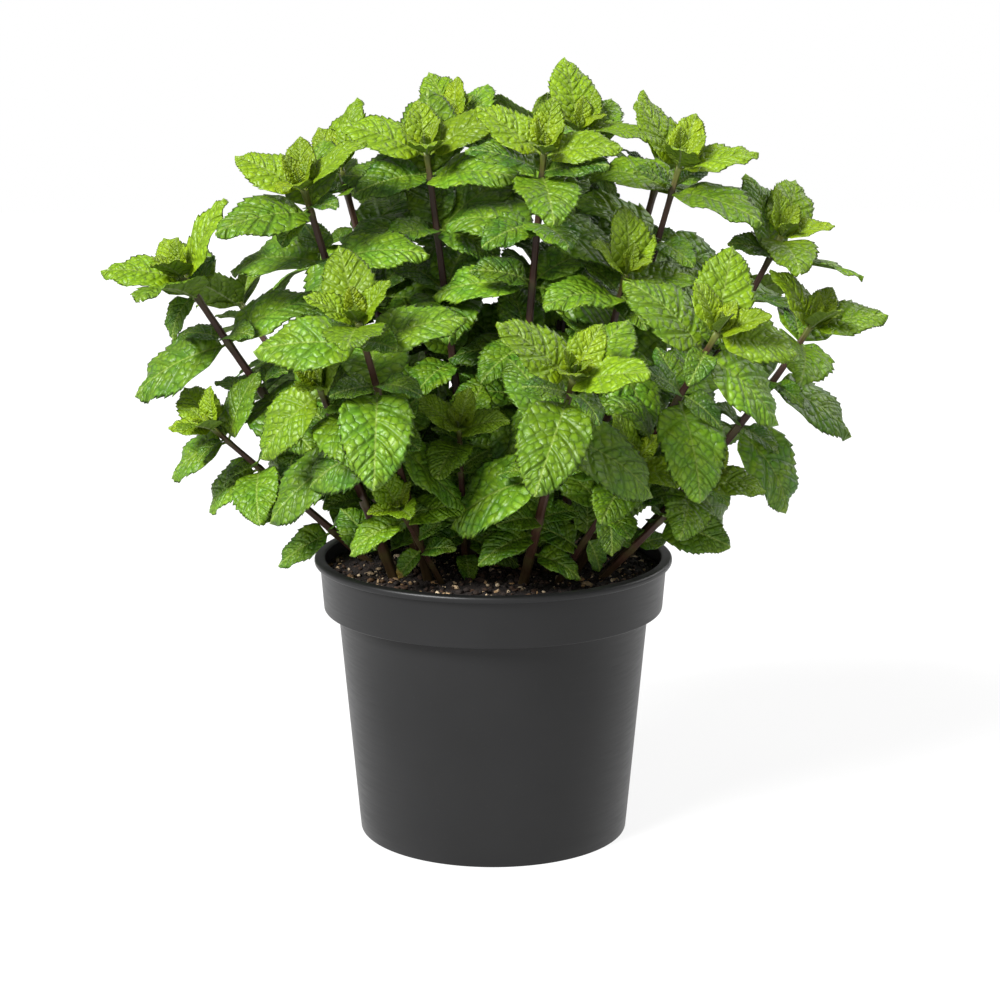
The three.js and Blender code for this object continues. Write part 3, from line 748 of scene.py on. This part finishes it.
def soil_height(x, y):
    """Height of the soil's crumbly surface, as in the frame. Takes numbers or arrays."""
    out = np.minimum(1, np.hypot(x, y) / SOIL_RADIUS)
    hills = HILLS * np.sin(0.09 * x + 1.1) * np.cos(0.11 * y - 0.6)
    crumbs = CRUMBS * np.sin(0.83 * x + 0.31 * y) * np.sin(0.71 * y - 0.27 * x)
    return SOIL_EDGE + SOIL_MOUND * (1 - out * out) + (hills + crumbs) * (1 - out**6)


def roughness_of_soil(x, y):
    """Finer unevenness than the frame's: clods and pits."""
    clods = 0.55 * np.sin(1.9 * x + 1.3 * np.sin(0.8 * y)) * np.sin(1.7 * y + 1.1 * np.sin(0.9 * x + 2))
    pits = 0.30 * np.sin(4.1 * x + 2.0 * np.sin(2.3 * y + 1)) * np.sin(3.7 * y + 1.7 * np.sin(2.9 * x))
    return clods + pits


def make_soil():
    """The root ball as one closed solid, with its uneven top."""
    outside = [
        (0, FLOOR_TOP + GAP),
        (30, FLOOR_TOP + GAP),
        (FOOT_RADIUS - WALL - GAP - 1, FLOOR_TOP + GAP),
        (FOOT_RADIUS - WALL - GAP, FLOOR_TOP + GAP + 1),
        (BODY_RADIUS - WALL - GAP, LEDGE_TOP - 1 + GAP),
        (LEDGE_RADIUS - GAP, LEDGE_TOP + GAP),
    ]
    shares = np.linspace(1, 0, SOIL_RINGS)
    top = [(SOIL_RADIUS * share, SOIL_EDGE) for share in shares]
    pile = Pile()
    turned_solid(pile, outside + top, SOIL_SEGMENTS)
    points = pile.points[0]
    surface = points[:, 2] >= SOIL_EDGE
    x, y = points[surface, 0], points[surface, 1]
    inside = 1 - np.minimum(1, np.hypot(x, y) / SOIL_RADIUS) ** 12
    points[surface, 2] = soil_height(x, y) + roughness_of_soil(x, y) * inside
    add_piece(pile.mesh("soil_ball"), soil_material(), "potting_soil", "soil")


def blob(steps):
    """Points and faces of a ball with few faces."""
    made = bmesh.new()
    bmesh.ops.create_icosphere(made, subdivisions=steps, radius=1)
    points = np.array([vertex.co[:] for vertex in made.verts])
    faces = np.array([[vertex.index for vertex in face.verts] for face in made.faces])
    made.free()
    return points, faces


def scatter(pile, form, kind, count, sizes, shades, flatness):
    """Loose bits on the soil. kind is the first key of their draws, and sizes and shades are ranges."""
    points, faces = form
    for index in range(count):
        def luck(what):
            return draw(kind, index, what)

        def part(what):
            return luck(what) / 2 + 0.5

        radius = (SOIL_RADIUS - 1.5) * math.sqrt(part(0))
        angle = luck(1) * math.pi
        x, y = radius * math.cos(angle), radius * math.sin(angle)
        size = sizes[0] + (sizes[1] - sizes[0]) * part(2) ** 2
        stretch = np.array([1 + 0.5 * luck(3), 1 + 0.3 * luck(4), flatness * (1 + 0.3 * luck(5))])
        lumps = np.sin(points @ np.array([3 + luck(6), 2.7, 3.3 + luck(7)]) + 3 * luck(8))
        turn = np.array(Euler((0.5 * luck(10), 0, luck(9) * math.pi)).to_matrix())
        bit = (points * (1 + 0.22 * lumps[:, None]) * stretch * size / 2) @ turn.T
        height = soil_height(x, y) + roughness_of_soil(x, y) + size * flatness * 0.28
        shade = shades[0] + (shades[1] - shades[0]) * part(11)
        bit += np.array([x, y, height])
        pile.add(bit, faces.reshape(-1), np.full(len(faces), 3), crumb_shade=shade)


def make_crumbs():
    """Crumbs of soil, chips of bark and grains of perlite."""
    rough, smooth_ball = blob(1), blob(2)
    pile = Pile()
    scatter(pile, rough, 101, 2200, (0.7, 2.6), (0.0, 0.75), 0.8)
    scatter(pile, smooth_ball, 102, 260, (2.2, 4.6), (0.2, 0.78), 0.7)
    scatter(pile, rough, 103, 240, (1.8, 5.5), (0.65, 0.97), 0.4)
    add_piece(pile.mesh("soil_crumbs"), crumb_material(), "potting_soil")
    grains = Pile()
    scatter(grains, smooth_ball, 104, 420, (0.9, 2.7), (0.93, 1.0), 0.9)
    add_piece(grains.mesh("soil_grit"), crumb_material(), "potting_soil")


# ---- Stems ----


class Stem:
    """The curve of a stem: its points, its length, and its axes at any share of its height."""

    def __init__(self, number):
        foot, tip, lean, self.phase, self.size, self.pairs = STEMS[number]
        self.number = number
        self.name = f"mint_stem_{number + 1:02d}"
        self.start = np.array([*foot, soil_height(*foot)], float)
        self.end = np.array(tip, float)
        self.middle = (self.start + self.end) / 2
        self.middle[:2] = self.start[:2] + (self.end[:2] - self.start[:2]) * lean
        steps = self.point(np.linspace(0, 1, 201)[:, None])
        self.length = np.linalg.norm(np.diff(steps, axis=0), axis=1).sum()

    def point(self, t):
        return (1 - t) ** 2 * self.start + 2 * (1 - t) * t * self.middle + t * t * self.end

    def axes(self, t):
        """The stem's direction, and two directions square to it, of which the first lies towards +X."""
        step = 1e-4
        along = unit(self.point(min(1, t + step)) - self.point(max(0, t - step)))
        first = unit(np.array([1.0, 0, 0]) - along * along[0])
        return along, first, np.cross(along, first)

    def side(self, t):
        return self.size * (STEM_FOOT_SIDE + (STEM_TIP_SIDE - STEM_FOOT_SIDE) * t)

    def pair_at(self, pair):
        return 1 - PAIRS[pair][0] * self.size / self.length


def unit(vector):
    return vector / np.linalg.norm(vector)


def rotated(vector, axis, angle):
    """The vector turned round an axis that it is square to."""
    return vector * math.cos(angle) + np.cross(axis, vector) * math.sin(angle)


# ---- Leaves ----


class Leaf:
    """Where and how a leaf grows, by the same rule as in the frame."""

    def __init__(self, stem, pair, side, turn, spec=None, sideways=0.0):
        below, blade_length, pitch, curl = spec or PAIRS[pair]
        if not spec:
            bent = BENT.get(stem.number + 1, {})
            shift, raised, bowed, share = bent.get((pair, side), AS_USUAL)
            sideways += shift
            pitch += raised
            curl += bowed
            blade_length *= share
        self.stem = stem
        self.pair = pair
        self.side = side
        self.dry = 0.0
        start = stem.phase + 90 * pair + 180 * side + sideways
        self.aim(turn, 1 - below * stem.size / stem.length, start, pitch, curl)
        shorter = 1 - SHORTER_STEP * max(0, turn - SHORTER_AFTER)
        grown = 1 + VARIES["length"] * draw(stem.number, pair, side, 0, 8)
        self.length = blade_length * stem.size * grown * shorter

    def aim(self, turn, t, start, pitch, curl):
        """Sets where the leaf grows on the stem, where it heads, and how it curls and faces."""
        def jitter(what):
            return draw(self.stem.number, self.pair, self.side, turn, what)

        t = min(1.0, t)
        along, first, second = self.stem.axes(t)
        self.root = self.stem.point(t)
        slack = rad(TRY_STEP * turn)
        around = rad(start + VARIES["round"] * jitter(0)) + slack * jitter(1)
        radial = first * math.cos(around) + second * math.sin(around)
        away = unit(np.array([FACING_SPREAD * self.root[0], self.root[1] - FACING_LINE, 0]))
        nod = max(0, rad(NOD) - math.asin(along @ away))
        lift = rad(pitch + VARIES["pitch"] * jitter(2)) - nod * (radial @ away) + slack * jitter(3)
        self.curl = max(rad(LEAST_CURL), rad(curl + VARIES["curl"] * jitter(4)) + slack * jitter(5))
        self.heading = radial * math.cos(lift) + along * math.sin(lift)
        normal = along * math.cos(lift) - radial * math.sin(lift)
        light = away * FACING + np.array([0, 0, 1])
        left = np.cross(normal, self.heading)
        half = self.curl / 2
        facing = (normal @ light) * math.cos(half) + (self.heading @ light) * math.sin(half)
        wanted = TURNING * math.atan2(-(left @ light), facing)
        roll = max(-rad(ROLL_LIMIT), min(rad(ROLL_LIMIT), wanted))
        roll += rad(VARIES["roll"]) * jitter(6) + TRY_ROLL * slack * jitter(7)
        self.normal = rotated(normal, self.heading, roll)
        self.left = rotated(left, self.heading, roll)

    def bend(self, s, v, above):
        """Points a share s along the midrib, v to its left, and a height above the flat blade."""
        s, v, above = (np.asarray(value, float)[..., None] for value in (s, v, above))
        bent = self.curl * s
        forward = self.length * np.sin(bent) / self.curl
        down = self.length * (1 - np.cos(bent)) / self.curl
        return (
            self.root
            + self.heading * (forward + above * np.sin(bent))
            + self.normal * (above * np.cos(bent) - down)
            + self.left * v
        )

    def tips(self):
        """The two corners that the frame's leaf has at its tip."""
        return self.bend([1, 1], [0, 0], [BLADE / 2, -BLADE / 2])


def half_width(s, base, tip):
    """Half width of a blade as a share of its greatest. base and tip say how blunt its ends are."""
    widest = base / (base + tip)
    return s**base * (1 - s) ** tip / (widest**base * (1 - widest) ** tip)


class Grid:
    """The mesh of a leaf: upper and lower face share the margin and the tip."""

    def __init__(self, columns, tooth_rows):
        self.columns = columns
        self.tooth_rows = tooth_rows
        self.rows = TEETH * tooth_rows  # rows of the blade, the tip not among them
        self.total = self.rows + PETIOLE_ROWS
        self.wide = 2 * columns + 1
        self.build_faces()

    def upper(self, row, column):
        return row * self.wide + column

    def lower(self, row, column):
        if column in (0, self.wide - 1):
            return self.upper(row, column)
        return self.total * self.wide + 1 + row * (self.wide - 2) + column - 1

    def build_faces(self):
        """Faces of both sides, and for the bake map each corner's place and side."""
        tip = self.total * self.wide
        faces = []
        places = []
        sides = []

        def add(face, place, side):
            faces.append(face)
            places.extend(place)
            sides.extend([side] * len(face))

        for row in range(self.total - 1):
            for column in range(self.wide - 1):
                square = [(row, column), (row + 1, column), (row + 1, column + 1), (row, column + 1)]
                add([self.upper(*at) for at in square], square, 0)
                square.reverse()
                add([self.lower(*at) for at in square], square, 1)
        last = self.total - 1
        for column in range(self.wide - 1):
            fan = [(last, column), (last + 1, column + 0.5), (last, column + 1)]
            add([self.upper(last, column), tip, self.upper(last, column + 1)], fan, 0)
            fan.reverse()
            add([self.lower(last, column + 1), tip, self.lower(last, column)], fan, 1)
            ends = [self.upper(0, column), self.upper(0, column + 1)]
            ends += [self.lower(0, column + 1), self.lower(0, column)]
            cap = list(dict.fromkeys(ends))
            add(cap, [(0, column)] * len(cap), 1)
        self.corners = np.array([index for face in faces for index in face])
        self.sizes = np.array([len(face) for face in faces])
        places = np.array(places, float)
        self.uv = np.stack([places[:, 1] / (self.wide - 1), places[:, 0] / self.total], axis=1)
        self.sides = np.array(sides)


GRIDS = [(least, Grid(columns, tooth_rows)) for least, columns, tooth_rows in LEAF_GRIDS]


def smooth(x):
    x = np.clip(x, 0, 1)
    return x * x * (3 - 2 * x)


def lay_blade(leaf, grid, start, young, luck):
    """Places on the blade. p runs along the midrib and w across, from -1 to 1, by the grid's rows,
    which follow the side veins. s is the share of the leaf's length, and v is across in mm."""
    p = np.arange(grid.rows)[:, None] / grid.rows
    w = np.linspace(-1, 1, grid.wide)[None, :]
    near = np.abs(w)
    slant = VEIN_SLANT * np.sin(math.pi * p**0.75)
    wander = (0.008 * np.sin(6.0 * w + 3 * luck(1)) + 0.006 * np.sin(11 * p + 5 * luck(2))) * near
    s = start + (1 - start) * np.clip(p + slant * near**1.15 + wander * np.sin(math.pi * p), 0, 1)
    s_margin = start + (1 - start) * (p + slant)
    ends = half_width(np.clip(s_margin, 1e-6, 1), *FINE_ENDS)
    base = np.clip((s_margin - start) / max(0.02, BASE_ZONE - start), 0, 1) ** 0.5
    half = leaf.length * BLADE_WIDTH / 2 * (1 - YOUNG_NARROWER * young)
    width = np.maximum(half * ends * np.where(s_margin < BASE_ZONE, base, 1), PETIOLE_WIDTH / 2)

    step = (np.arange(grid.rows) % grid.tooth_rows) / (grid.tooth_rows - 1)
    tooth = TOOTH * step**1.2 * smooth(p[:, 0] / 0.12)
    number = np.arange(grid.rows) // grid.tooth_rows
    left, right = (
        tooth * [0.75 + 0.35 * draw(leaf.stem.number, leaf.pair, leaf.side, int(n), key) for n in number]
        for key in (9, 10)
    )
    teeth = np.where(w < 0, left[:, None], right[:, None])
    outer = smooth((near - TOOTH_ZONE) / (1 - TOOTH_ZONE))
    v = w * width * (1 + (teeth - 0.35 * TOOTH) * outer)
    return p, w, s + teeth * outer * 0.5 * (1 - s), v


def net_of_veins(leaf, p, s, v, big):
    """Places in the net of veins, counted in cells: the row between side veins, and out along it."""
    slope = rad(VEIN_ANGLE)
    out_along_vein = np.abs(v) * math.cos(slope) + s * leaf.length * math.sin(slope)
    return p * 2 * VEIN_PAIRS, out_along_vein / (CELL_LENGTH * big)


def blade_height(p, w, s, v, row, big, young, luck):
    """Height above the flat blade: bulges and veins, the fold at the midrib, and the wavy margin."""
    near = np.abs(w)
    fade = (1 - 0.5 * near**3) * smooth(p / 0.06) * smooth((1 - p) / 0.08) * smooth(near / 0.15)
    bulge = QUILTING * np.abs(np.sin(math.pi * row)) ** 0.8 * (1 + 0.4 * young)
    side_vein = VEIN_GROOVE * np.exp(-(((row + 1) % 2 - 1) / 0.16) ** 2) * (1 - 0.4 * near)
    rib = RIB_GROOVE * np.exp(-((v / (0.75 + 0.2 * big)) ** 2)) * (1 - 0.6 * p)
    relief = big * ((bulge - side_vein) * fade - rib)
    slope = FOLD + 0.06 + YOUNG_FOLD * young + 0.08 * luck(3)
    fold = slope * (np.sqrt(v * v + FOLD_ROUND**2) - FOLD_ROUND)
    turns = (2.2 + 0.5 * luck(4)) * p + (w >= 0) * (0.3 + 0.2 * luck(5)) + luck(6)
    wave = WAVES * big * near**1.6 * np.sin(2 * math.pi * turns) * smooth(p / 0.2) * (1 - 0.5 * p)
    drop = MARGIN_DROP * big * (1 - 0.7 * young) * near**2.4 * smooth(p / 0.2)
    return relief + fold + wave - drop + 0.10 * luck(7) * v * s


def shape_leaf(leaf, grid, pile, tile):
    """Adds one leaf with its teeth, quilting, veins and midrib to the pile."""
    def luck(what):
        return draw(leaf.stem.number, leaf.pair, leaf.side, FINE_SHAPE, what)

    big = leaf.length / FULL_LENGTH
    young = np.clip((YOUNG_FROM - leaf.length) / (YOUNG_FROM - YOUNG_TO), 0, 1)
    start = min(0.3, PETIOLE_LENGTH / leaf.length)
    p, w, s, v = lay_blade(leaf, grid, start, young, luck)
    row, cell = net_of_veins(leaf, p, s, v, big)
    above = blade_height(p, w, s, v, row, big, young, luck)
    near = np.abs(w)
    thick = THICKNESS * (0.45 + 0.55 * big) * (1 - near**6)
    keel = KEEL * big * np.exp(-((v / RIB_WIDTH) ** 2)) * (1 - 0.7 * p)

    def with_petiole(petiole, blade):
        """Rows of the petiole, which runs from inside the stalk to the blade, and the blade's."""
        ends = np.broadcast_to(petiole, (PETIOLE_ROWS, grid.wide))
        return np.concatenate([ends, np.broadcast_to(blade, (grid.rows, grid.wide))])

    s = with_petiole(np.array([[0.0], [0.6]]) * start, s)
    v = with_petiole(w * PETIOLE_WIDTH / 2 * np.array([[1.0], [0.95]]), v)
    above = with_petiole(-CHANNEL * (1 - near), above)
    petiole_thick = PETIOLE_DEPTH * np.sqrt(np.clip(1 - w * w, 0, 1)) * (0.5 + 0.5 * big)
    thick = with_petiole(petiole_thick, thick)
    keel = with_petiole(0, keel)

    upper = leaf.bend(s, v, above + thick / 2)
    lower = leaf.bend(s, v, above - thick / 2 - keel)
    tip = leaf.bend([1.0], [0.0], [0.0])
    points = np.concatenate([upper.reshape(-1, 3), tip, lower[:, 1:-1].reshape(-1, 3)])

    def everywhere(*numbers, under=0):
        """Three numbers at every point: the upper face, the tip and the lower face."""
        upper = np.stack([number + 0 * v for number in numbers], axis=-1)
        tip = upper[-1, grid.columns]
        lower = upper[:, 1:-1] + np.array([0, 0, under])
        return np.concatenate([upper.reshape(-1, 3), [tip], lower.reshape(-1, 3)])

    quilted = (0.04 + 0.96 * big) * (1 + 0.35 * young)
    pile.add(
        points,
        grid.corners,
        grid.sizes,
        uv=tile.place(grid),
        leaf_lines=everywhere(np.abs(v), quilted, 0, under=1),
        leaf_net=everywhere(with_petiole(0, cell), with_petiole(0, row), w),
        leaf_place=everywhere(v + 130 * luck(8), s * leaf.length + 170 * luck(9), 90 * luck(10)),
        leaf_look=everywhere(*leaf_values(leaf, luck, s)),
    )


def leaf_values(leaf, luck, s):
    """Age, tint and dryness. Leaves age down the stem, and the base of each is paler than its tip."""
    age = AGES.get(leaf.pair, OLDEST) + 0.08 * luck(12)
    along = np.clip(s, 0, 1)
    paler = 0.16 * (1 - smooth(along / 0.5))
    dry = leaf.dry * smooth((along - 0.55) / 0.45)
    return np.clip(age - paler, 0, 1), luck(13), dry


class Tiles:
    """Squares of the bake map, one for each face of each leaf of a piece."""

    def __init__(self, leaves):
        self.across = math.ceil(math.sqrt(2 * leaves * 1.6))
        self.down = math.ceil(2 * leaves / self.across)
        self.next = 0

    def place(self, grid):
        number = self.next + grid.sides
        self.next += 2
        inset = 0.04
        shares = inset + (1 - 2 * inset) * grid.uv
        column = number % self.across
        row = number // self.across
        return np.stack([(column + shares[:, 0]) / self.across, (row + shares[:, 1]) / self.down], axis=1)


# ---- Which leaves there are ----


def outline_mesh(leaf, thickness, rows=6):
    """A coarse closed blade, to test whether leaves cross."""
    s = np.linspace(0.14, 0.99, rows)
    v = leaf.length * BLADE_WIDTH / 2 * half_width(s, *BLADE_ENDS)
    points = []
    for height in (thickness / 2, -thickness / 2):
        for share in (-1, 0, 1):
            points.append(leaf.bend(s, v * share, FOLD * np.abs(v * share) + height))
    points = np.concatenate(points)
    faces = []
    for r in range(rows - 1):
        for strip in (0, 1):
            a = strip * rows + r
            b = a + rows
            faces.append((a, a + 1, b + 1, b))
            faces.append((a + 3 * rows, b + 3 * rows, b + 1 + 3 * rows, a + 1 + 3 * rows))
        left, right = r, 2 * rows + r
        faces.append((left, left + 3 * rows, left + 1 + 3 * rows, left + 1))
        faces.append((right, right + 1, right + 1 + 3 * rows, right + 3 * rows))
    return points, faces


def tree_of(points, faces):
    return BVHTree.FromPolygons([tuple(point) for point in points], faces)


class Crowd:
    """The outlines of everything placed so far, to keep new leaves clear of it."""

    def __init__(self):
        self.entries = []

    def add(self, points, faces):
        self.entries.append((points.min(axis=0), points.max(axis=0), tree_of(points, faces)))

    def is_clear(self, points, faces):
        low, high = points.min(axis=0), points.max(axis=0)
        tree = None
        for other_low, other_high, other in self.entries:
            if (low > other_high).any() or (high < other_low).any():
                continue
            tree = tree or tree_of(points, faces)
            if tree.overlap(other):
                return False
        return True


def find_leaf(stem, pair, side, corners):
    """The leaf that the frame has there: the try whose tip is a corner of the stem's solid."""
    for turn in range(TRIES):
        leaf = Leaf(stem, pair, side, turn)
        if any(corners.find(Vector(tip * MM))[2] < SAME_CORNER * MM for tip in leaf.tips()):
            return leaf
    return None


def frame_leaves(stem):
    """All leaves that the frame has on a stem."""
    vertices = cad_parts[stem.name].data.vertices
    corners = KDTree(len(vertices))
    for index, vertex in enumerate(vertices):
        corners.insert(vertex.co, index)
    corners.balance()
    found = []
    for pair in range(stem.pairs[0], stem.pairs[1] + 1):
        for side in (0, 1):
            leaf = find_leaf(stem, pair, side, corners)
            if leaf:
                found.append(leaf)
    return found


def grow_leaves(stems):
    """The frame's leaves, then the buds and the hidden leaves that are only here."""
    crowd = Crowd()
    leaves = {}
    for stem in stems:
        leaves[stem.number] = frame_leaves(stem)
        crowd.add(*stalk_outline(stem))
        for leaf in leaves[stem.number]:
            crowd.add(*outline_mesh(leaf, FRAME_ROOM))

    for stem in stems:
        for pair in (-3, -2, -1):
            for side in (0, 1):
                leaves[stem.number].append(Leaf(stem, pair, side, 0))

    for pair in range(0, max(PAIRS) + 1):
        for stem in stems:
            if stem.pairs[0] <= pair <= stem.pairs[1] or stem.pair_at(pair) < LOWEST_PAIR_AT:
                continue
            for side in (0, 1):
                grow_extra(leaves[stem.number], crowd, stem, pair, side)
    grow_low(stems, leaves, crowd)
    grow_axils(stems, leaves, crowd)
    return leaves


def grow_extra(leaves, crowd, stem, pair, side, spec=None, sideways=0.0, tries=EXTRA_TRIES):
    """Adds a leaf where there is room for it, and says whether there was."""
    for turn in range(tries):
        leaf = Leaf(stem, pair, side, 2 * turn, spec, sideways)
        if is_in_the_way(leaf):
            continue
        points, faces = outline_mesh(leaf, EXTRA_ROOM)
        if crowd.is_clear(points, faces):
            crowd.add(points, faces)
            leaves.append(leaf)
            return True
    return False


def grow_low(stems, leaves, crowd):
    for index, (number, below, length, pitch, curl, direction, dry) in enumerate(LOW_LEAVES):
        stem = stems[number]
        key = FIRST_LOW_LEAF + index
        spec = [below / stem.size, length / stem.size, pitch, curl]
        leaf = Leaf(stem, key, 0, 0, spec, direction - stem.phase - 90 * key)
        leaf.dry = dry
        leaves[number].append(leaf)
        crowd.add(*outline_mesh(leaf, EXTRA_ROOM))


def is_in_the_way(leaf):
    """Whether a leaf would touch the soil or the pot, hang down beside it or hide the soil in front."""
    x, y, z = leaf.bend([0.5, 1.0], [0, 0], [0, 0]).T
    out = np.hypot(x, y)
    low = z < soil_height(x, y) + CLEAR_OF_SOIL
    beside = (out > LIP_RADIUS - CLEAR_OF_POT) & (z < POT_HEIGHT + CLEAR_OF_POT)
    before = (y < SOIL_SHOWS_AT) & (np.abs(x) < LIP_RADIUS) & (z < POT_HEIGHT + SOIL_IS_SEEN)
    return (low | beside | before).any()


def grow_axils(stems, leaves, crowd):
    """Small side shoots where the larger leaves leave the stem."""
    for stem in stems:
        for pair in range(1, max(PAIRS) + 1):
            if stem.pair_at(pair) < LOWEST_PAIR_AT:
                continue
            out = stem.point(stem.pair_at(pair))[:2] - INNER_MIDDLE
            lengths = INNER_SHOOTS if np.hypot(*out) < INNER_REACH else OUTER_SHOOTS
            for side in (0, 1):
                for shoot in (-1, 1):
                    grow_shoot(leaves[stem.number], crowd, stem, pair, side, shoot, lengths)


def grow_shoot(leaves, crowd, stem, pair, side, shoot, lengths):
    """One side shoot, as long as there is room for."""
    key = FIRST_SHOOT + 2 * pair + (shoot > 0)
    sideways = 90 * (pair - key) + shoot * SHOOT_TURN
    varied = SHOOT_LENGTH_VARIES * draw(stem.number, pair, side, shoot + 50, 21)
    for length in lengths:
        spec = [PAIRS[pair][0] - SHOOT_ABOVE, length + varied, *SHOOT_BEND]
        if grow_extra(leaves, crowd, stem, key, side, spec, sideways, SHOOT_TRIES):
            return


# ---- Stalks ----


def stalk_outline(stem):
    """A coarse closed stalk, to test whether leaves cross it."""
    rings = []
    for t in np.linspace(0, 1, OUTLINE_RINGS):
        _, first, second = stem.axes(t)
        for corner in range(4):
            angle = rad(stem.phase + 45 + 90 * corner)
            out = first * math.cos(angle) + second * math.sin(angle)
            rings.append(stem.point(t) + out * stem.side(t) * OUTLINE_REACH)
    corners, sizes = ring_faces(OUTLINE_RINGS, 4)
    faces = np.split(corners, np.cumsum(sizes)[:-1])
    return np.array(rings), [tuple(int(i) for i in face) for face in faces]


def make_stalk(stem):
    """A square stem with grooved sides, swollen where its leaves grow."""
    count = int(stem.length / STALK_STEP)
    ts = np.concatenate([[-STEM_BURIED / stem.length], np.linspace(0, 1, count)])
    knots = np.array([stem.pair_at(pair) for pair in PAIRS if stem.pair_at(pair) > LOWEST_PAIR_AT])
    angles = np.arange(STALK_AROUND) / STALK_AROUND * 2 * math.pi
    sides = np.abs(np.cos(angles)) ** SQUARENESS + np.abs(np.sin(angles)) ** SQUARENESS
    square = sides ** (-1 / SQUARENESS)
    grooves = STALK_GROOVE * np.cos(2 * angles) ** 6
    rings = []
    places = []
    for t in ts:
        held = max(t, 0)
        along, first, second = stem.axes(held)
        centre = stem.point(held) + along * min(t, 0) * stem.length
        side = stem.side(held)
        knot = np.exp(-(((held - knots) * stem.length / KNOT_REACH) ** 2)).max()
        radius = side / 2 * square * (1 - grooves * (1 - knot)) * (1 + KNOT_SWELL * knot)
        turn = angles + rad(stem.phase)
        ring = first * np.cos(turn)[:, None] + second * np.sin(turn)[:, None]
        rings.append(centre + ring * radius[:, None])
        places.append(np.tile([held, knot, 0], (STALK_AROUND, 1)))
    pile = Pile()
    corners, sizes = ring_faces(len(ts), STALK_AROUND)
    pile.add(np.concatenate(rings), corners, sizes, stalk_place=np.concatenate(places))
    return pile.mesh(f"mint_stalk_{stem.number + 1:02d}")


def make_foliage(stem, leaves):
    pile = Pile()
    tiles = Tiles(len(leaves))
    for leaf in leaves:
        grid = next(grid for least, grid in GRIDS if leaf.length > least)
        shape_leaf(leaf, grid, pile, tiles)
    return pile.mesh(f"mint_foliage_{stem.number + 1:02d}")


# ---- Camera, stage and light ----


def add_camera():
    data = bpy.data.cameras.new("camera")
    data.lens = LENS
    data.sensor_width = 36.0
    camera = bpy.data.objects.new("camera", data)
    bpy.context.scene.collection.objects.link(camera)
    angle = rad(CAMERA_HEIGHT_ANGLE)
    offset = Vector((0, -math.cos(angle), math.sin(angle))) * CAMERA_DISTANCE * MM
    camera.location = Vector(CAMERA_TARGET) * MM + offset
    camera.rotation_euler = offset.to_track_quat("Z", "Y").to_euler()
    bpy.context.scene.camera = camera


def add_sun(name, comes_from, softness, strength):
    data = bpy.data.lights.new(name, "SUN")
    data.energy = strength
    data.angle = rad(softness)
    light = bpy.data.objects.new(name, data)
    bpy.context.scene.collection.objects.link(light)
    light.rotation_euler = Vector(comes_from).to_track_quat("Z", "Y").to_euler()


def add_stage():
    half = STAGE_SIZE / 2
    pile = Pile()
    corners = np.array([(-half, -half, 0), (half, -half, 0), (half, half, 0), (-half, half, 0)])
    pile.add(corners, np.arange(4), np.array([4]))
    floor = new_object(pile.mesh("floor"), stage_material())
    add_world()
    add_sun("key", KEY_FROM, KEY_SOFTNESS, KEY_STRENGTH)
    add_sun("back", BACK_FROM, BACK_SOFTNESS, BACK_STRENGTH)
    add_sun("front", FRONT_FROM, FRONT_SOFTNESS, FRONT_STRENGTH)


def add_world():
    """Even soft light from everywhere, before a background that is white to the camera."""
    shader = Shader("studio", "worlds", "OutputWorld")
    seen = shader.node("LightPath").outputs["Is Camera Ray"]
    soft = shader.node("Background", Color=rgb(1, 1, 1), Strength=FILL_STRENGTH)
    white = shader.node("Background", Color=rgb(1, 1, 1))
    bpy.context.scene.world = shader.blend(seen, soft, white)


# ---- Putting it together ----

bpy.context.scene.view_settings.view_transform = "Standard"
add_camera()
add_stage()

stems = [Stem(number) for number in range(len(STEMS))]
leaves = grow_leaves(stems)
leaf_look = leaf_material()
stalk_look = stalk_material()
for stem in stems:
    add_piece(make_foliage(stem, leaves[stem.number]), leaf_look, "mint_leaf", stem.name)
    add_piece(make_stalk(stem), stalk_look, "mint_stalk", stem.name)

make_pot()
make_soil()
make_crumbs()
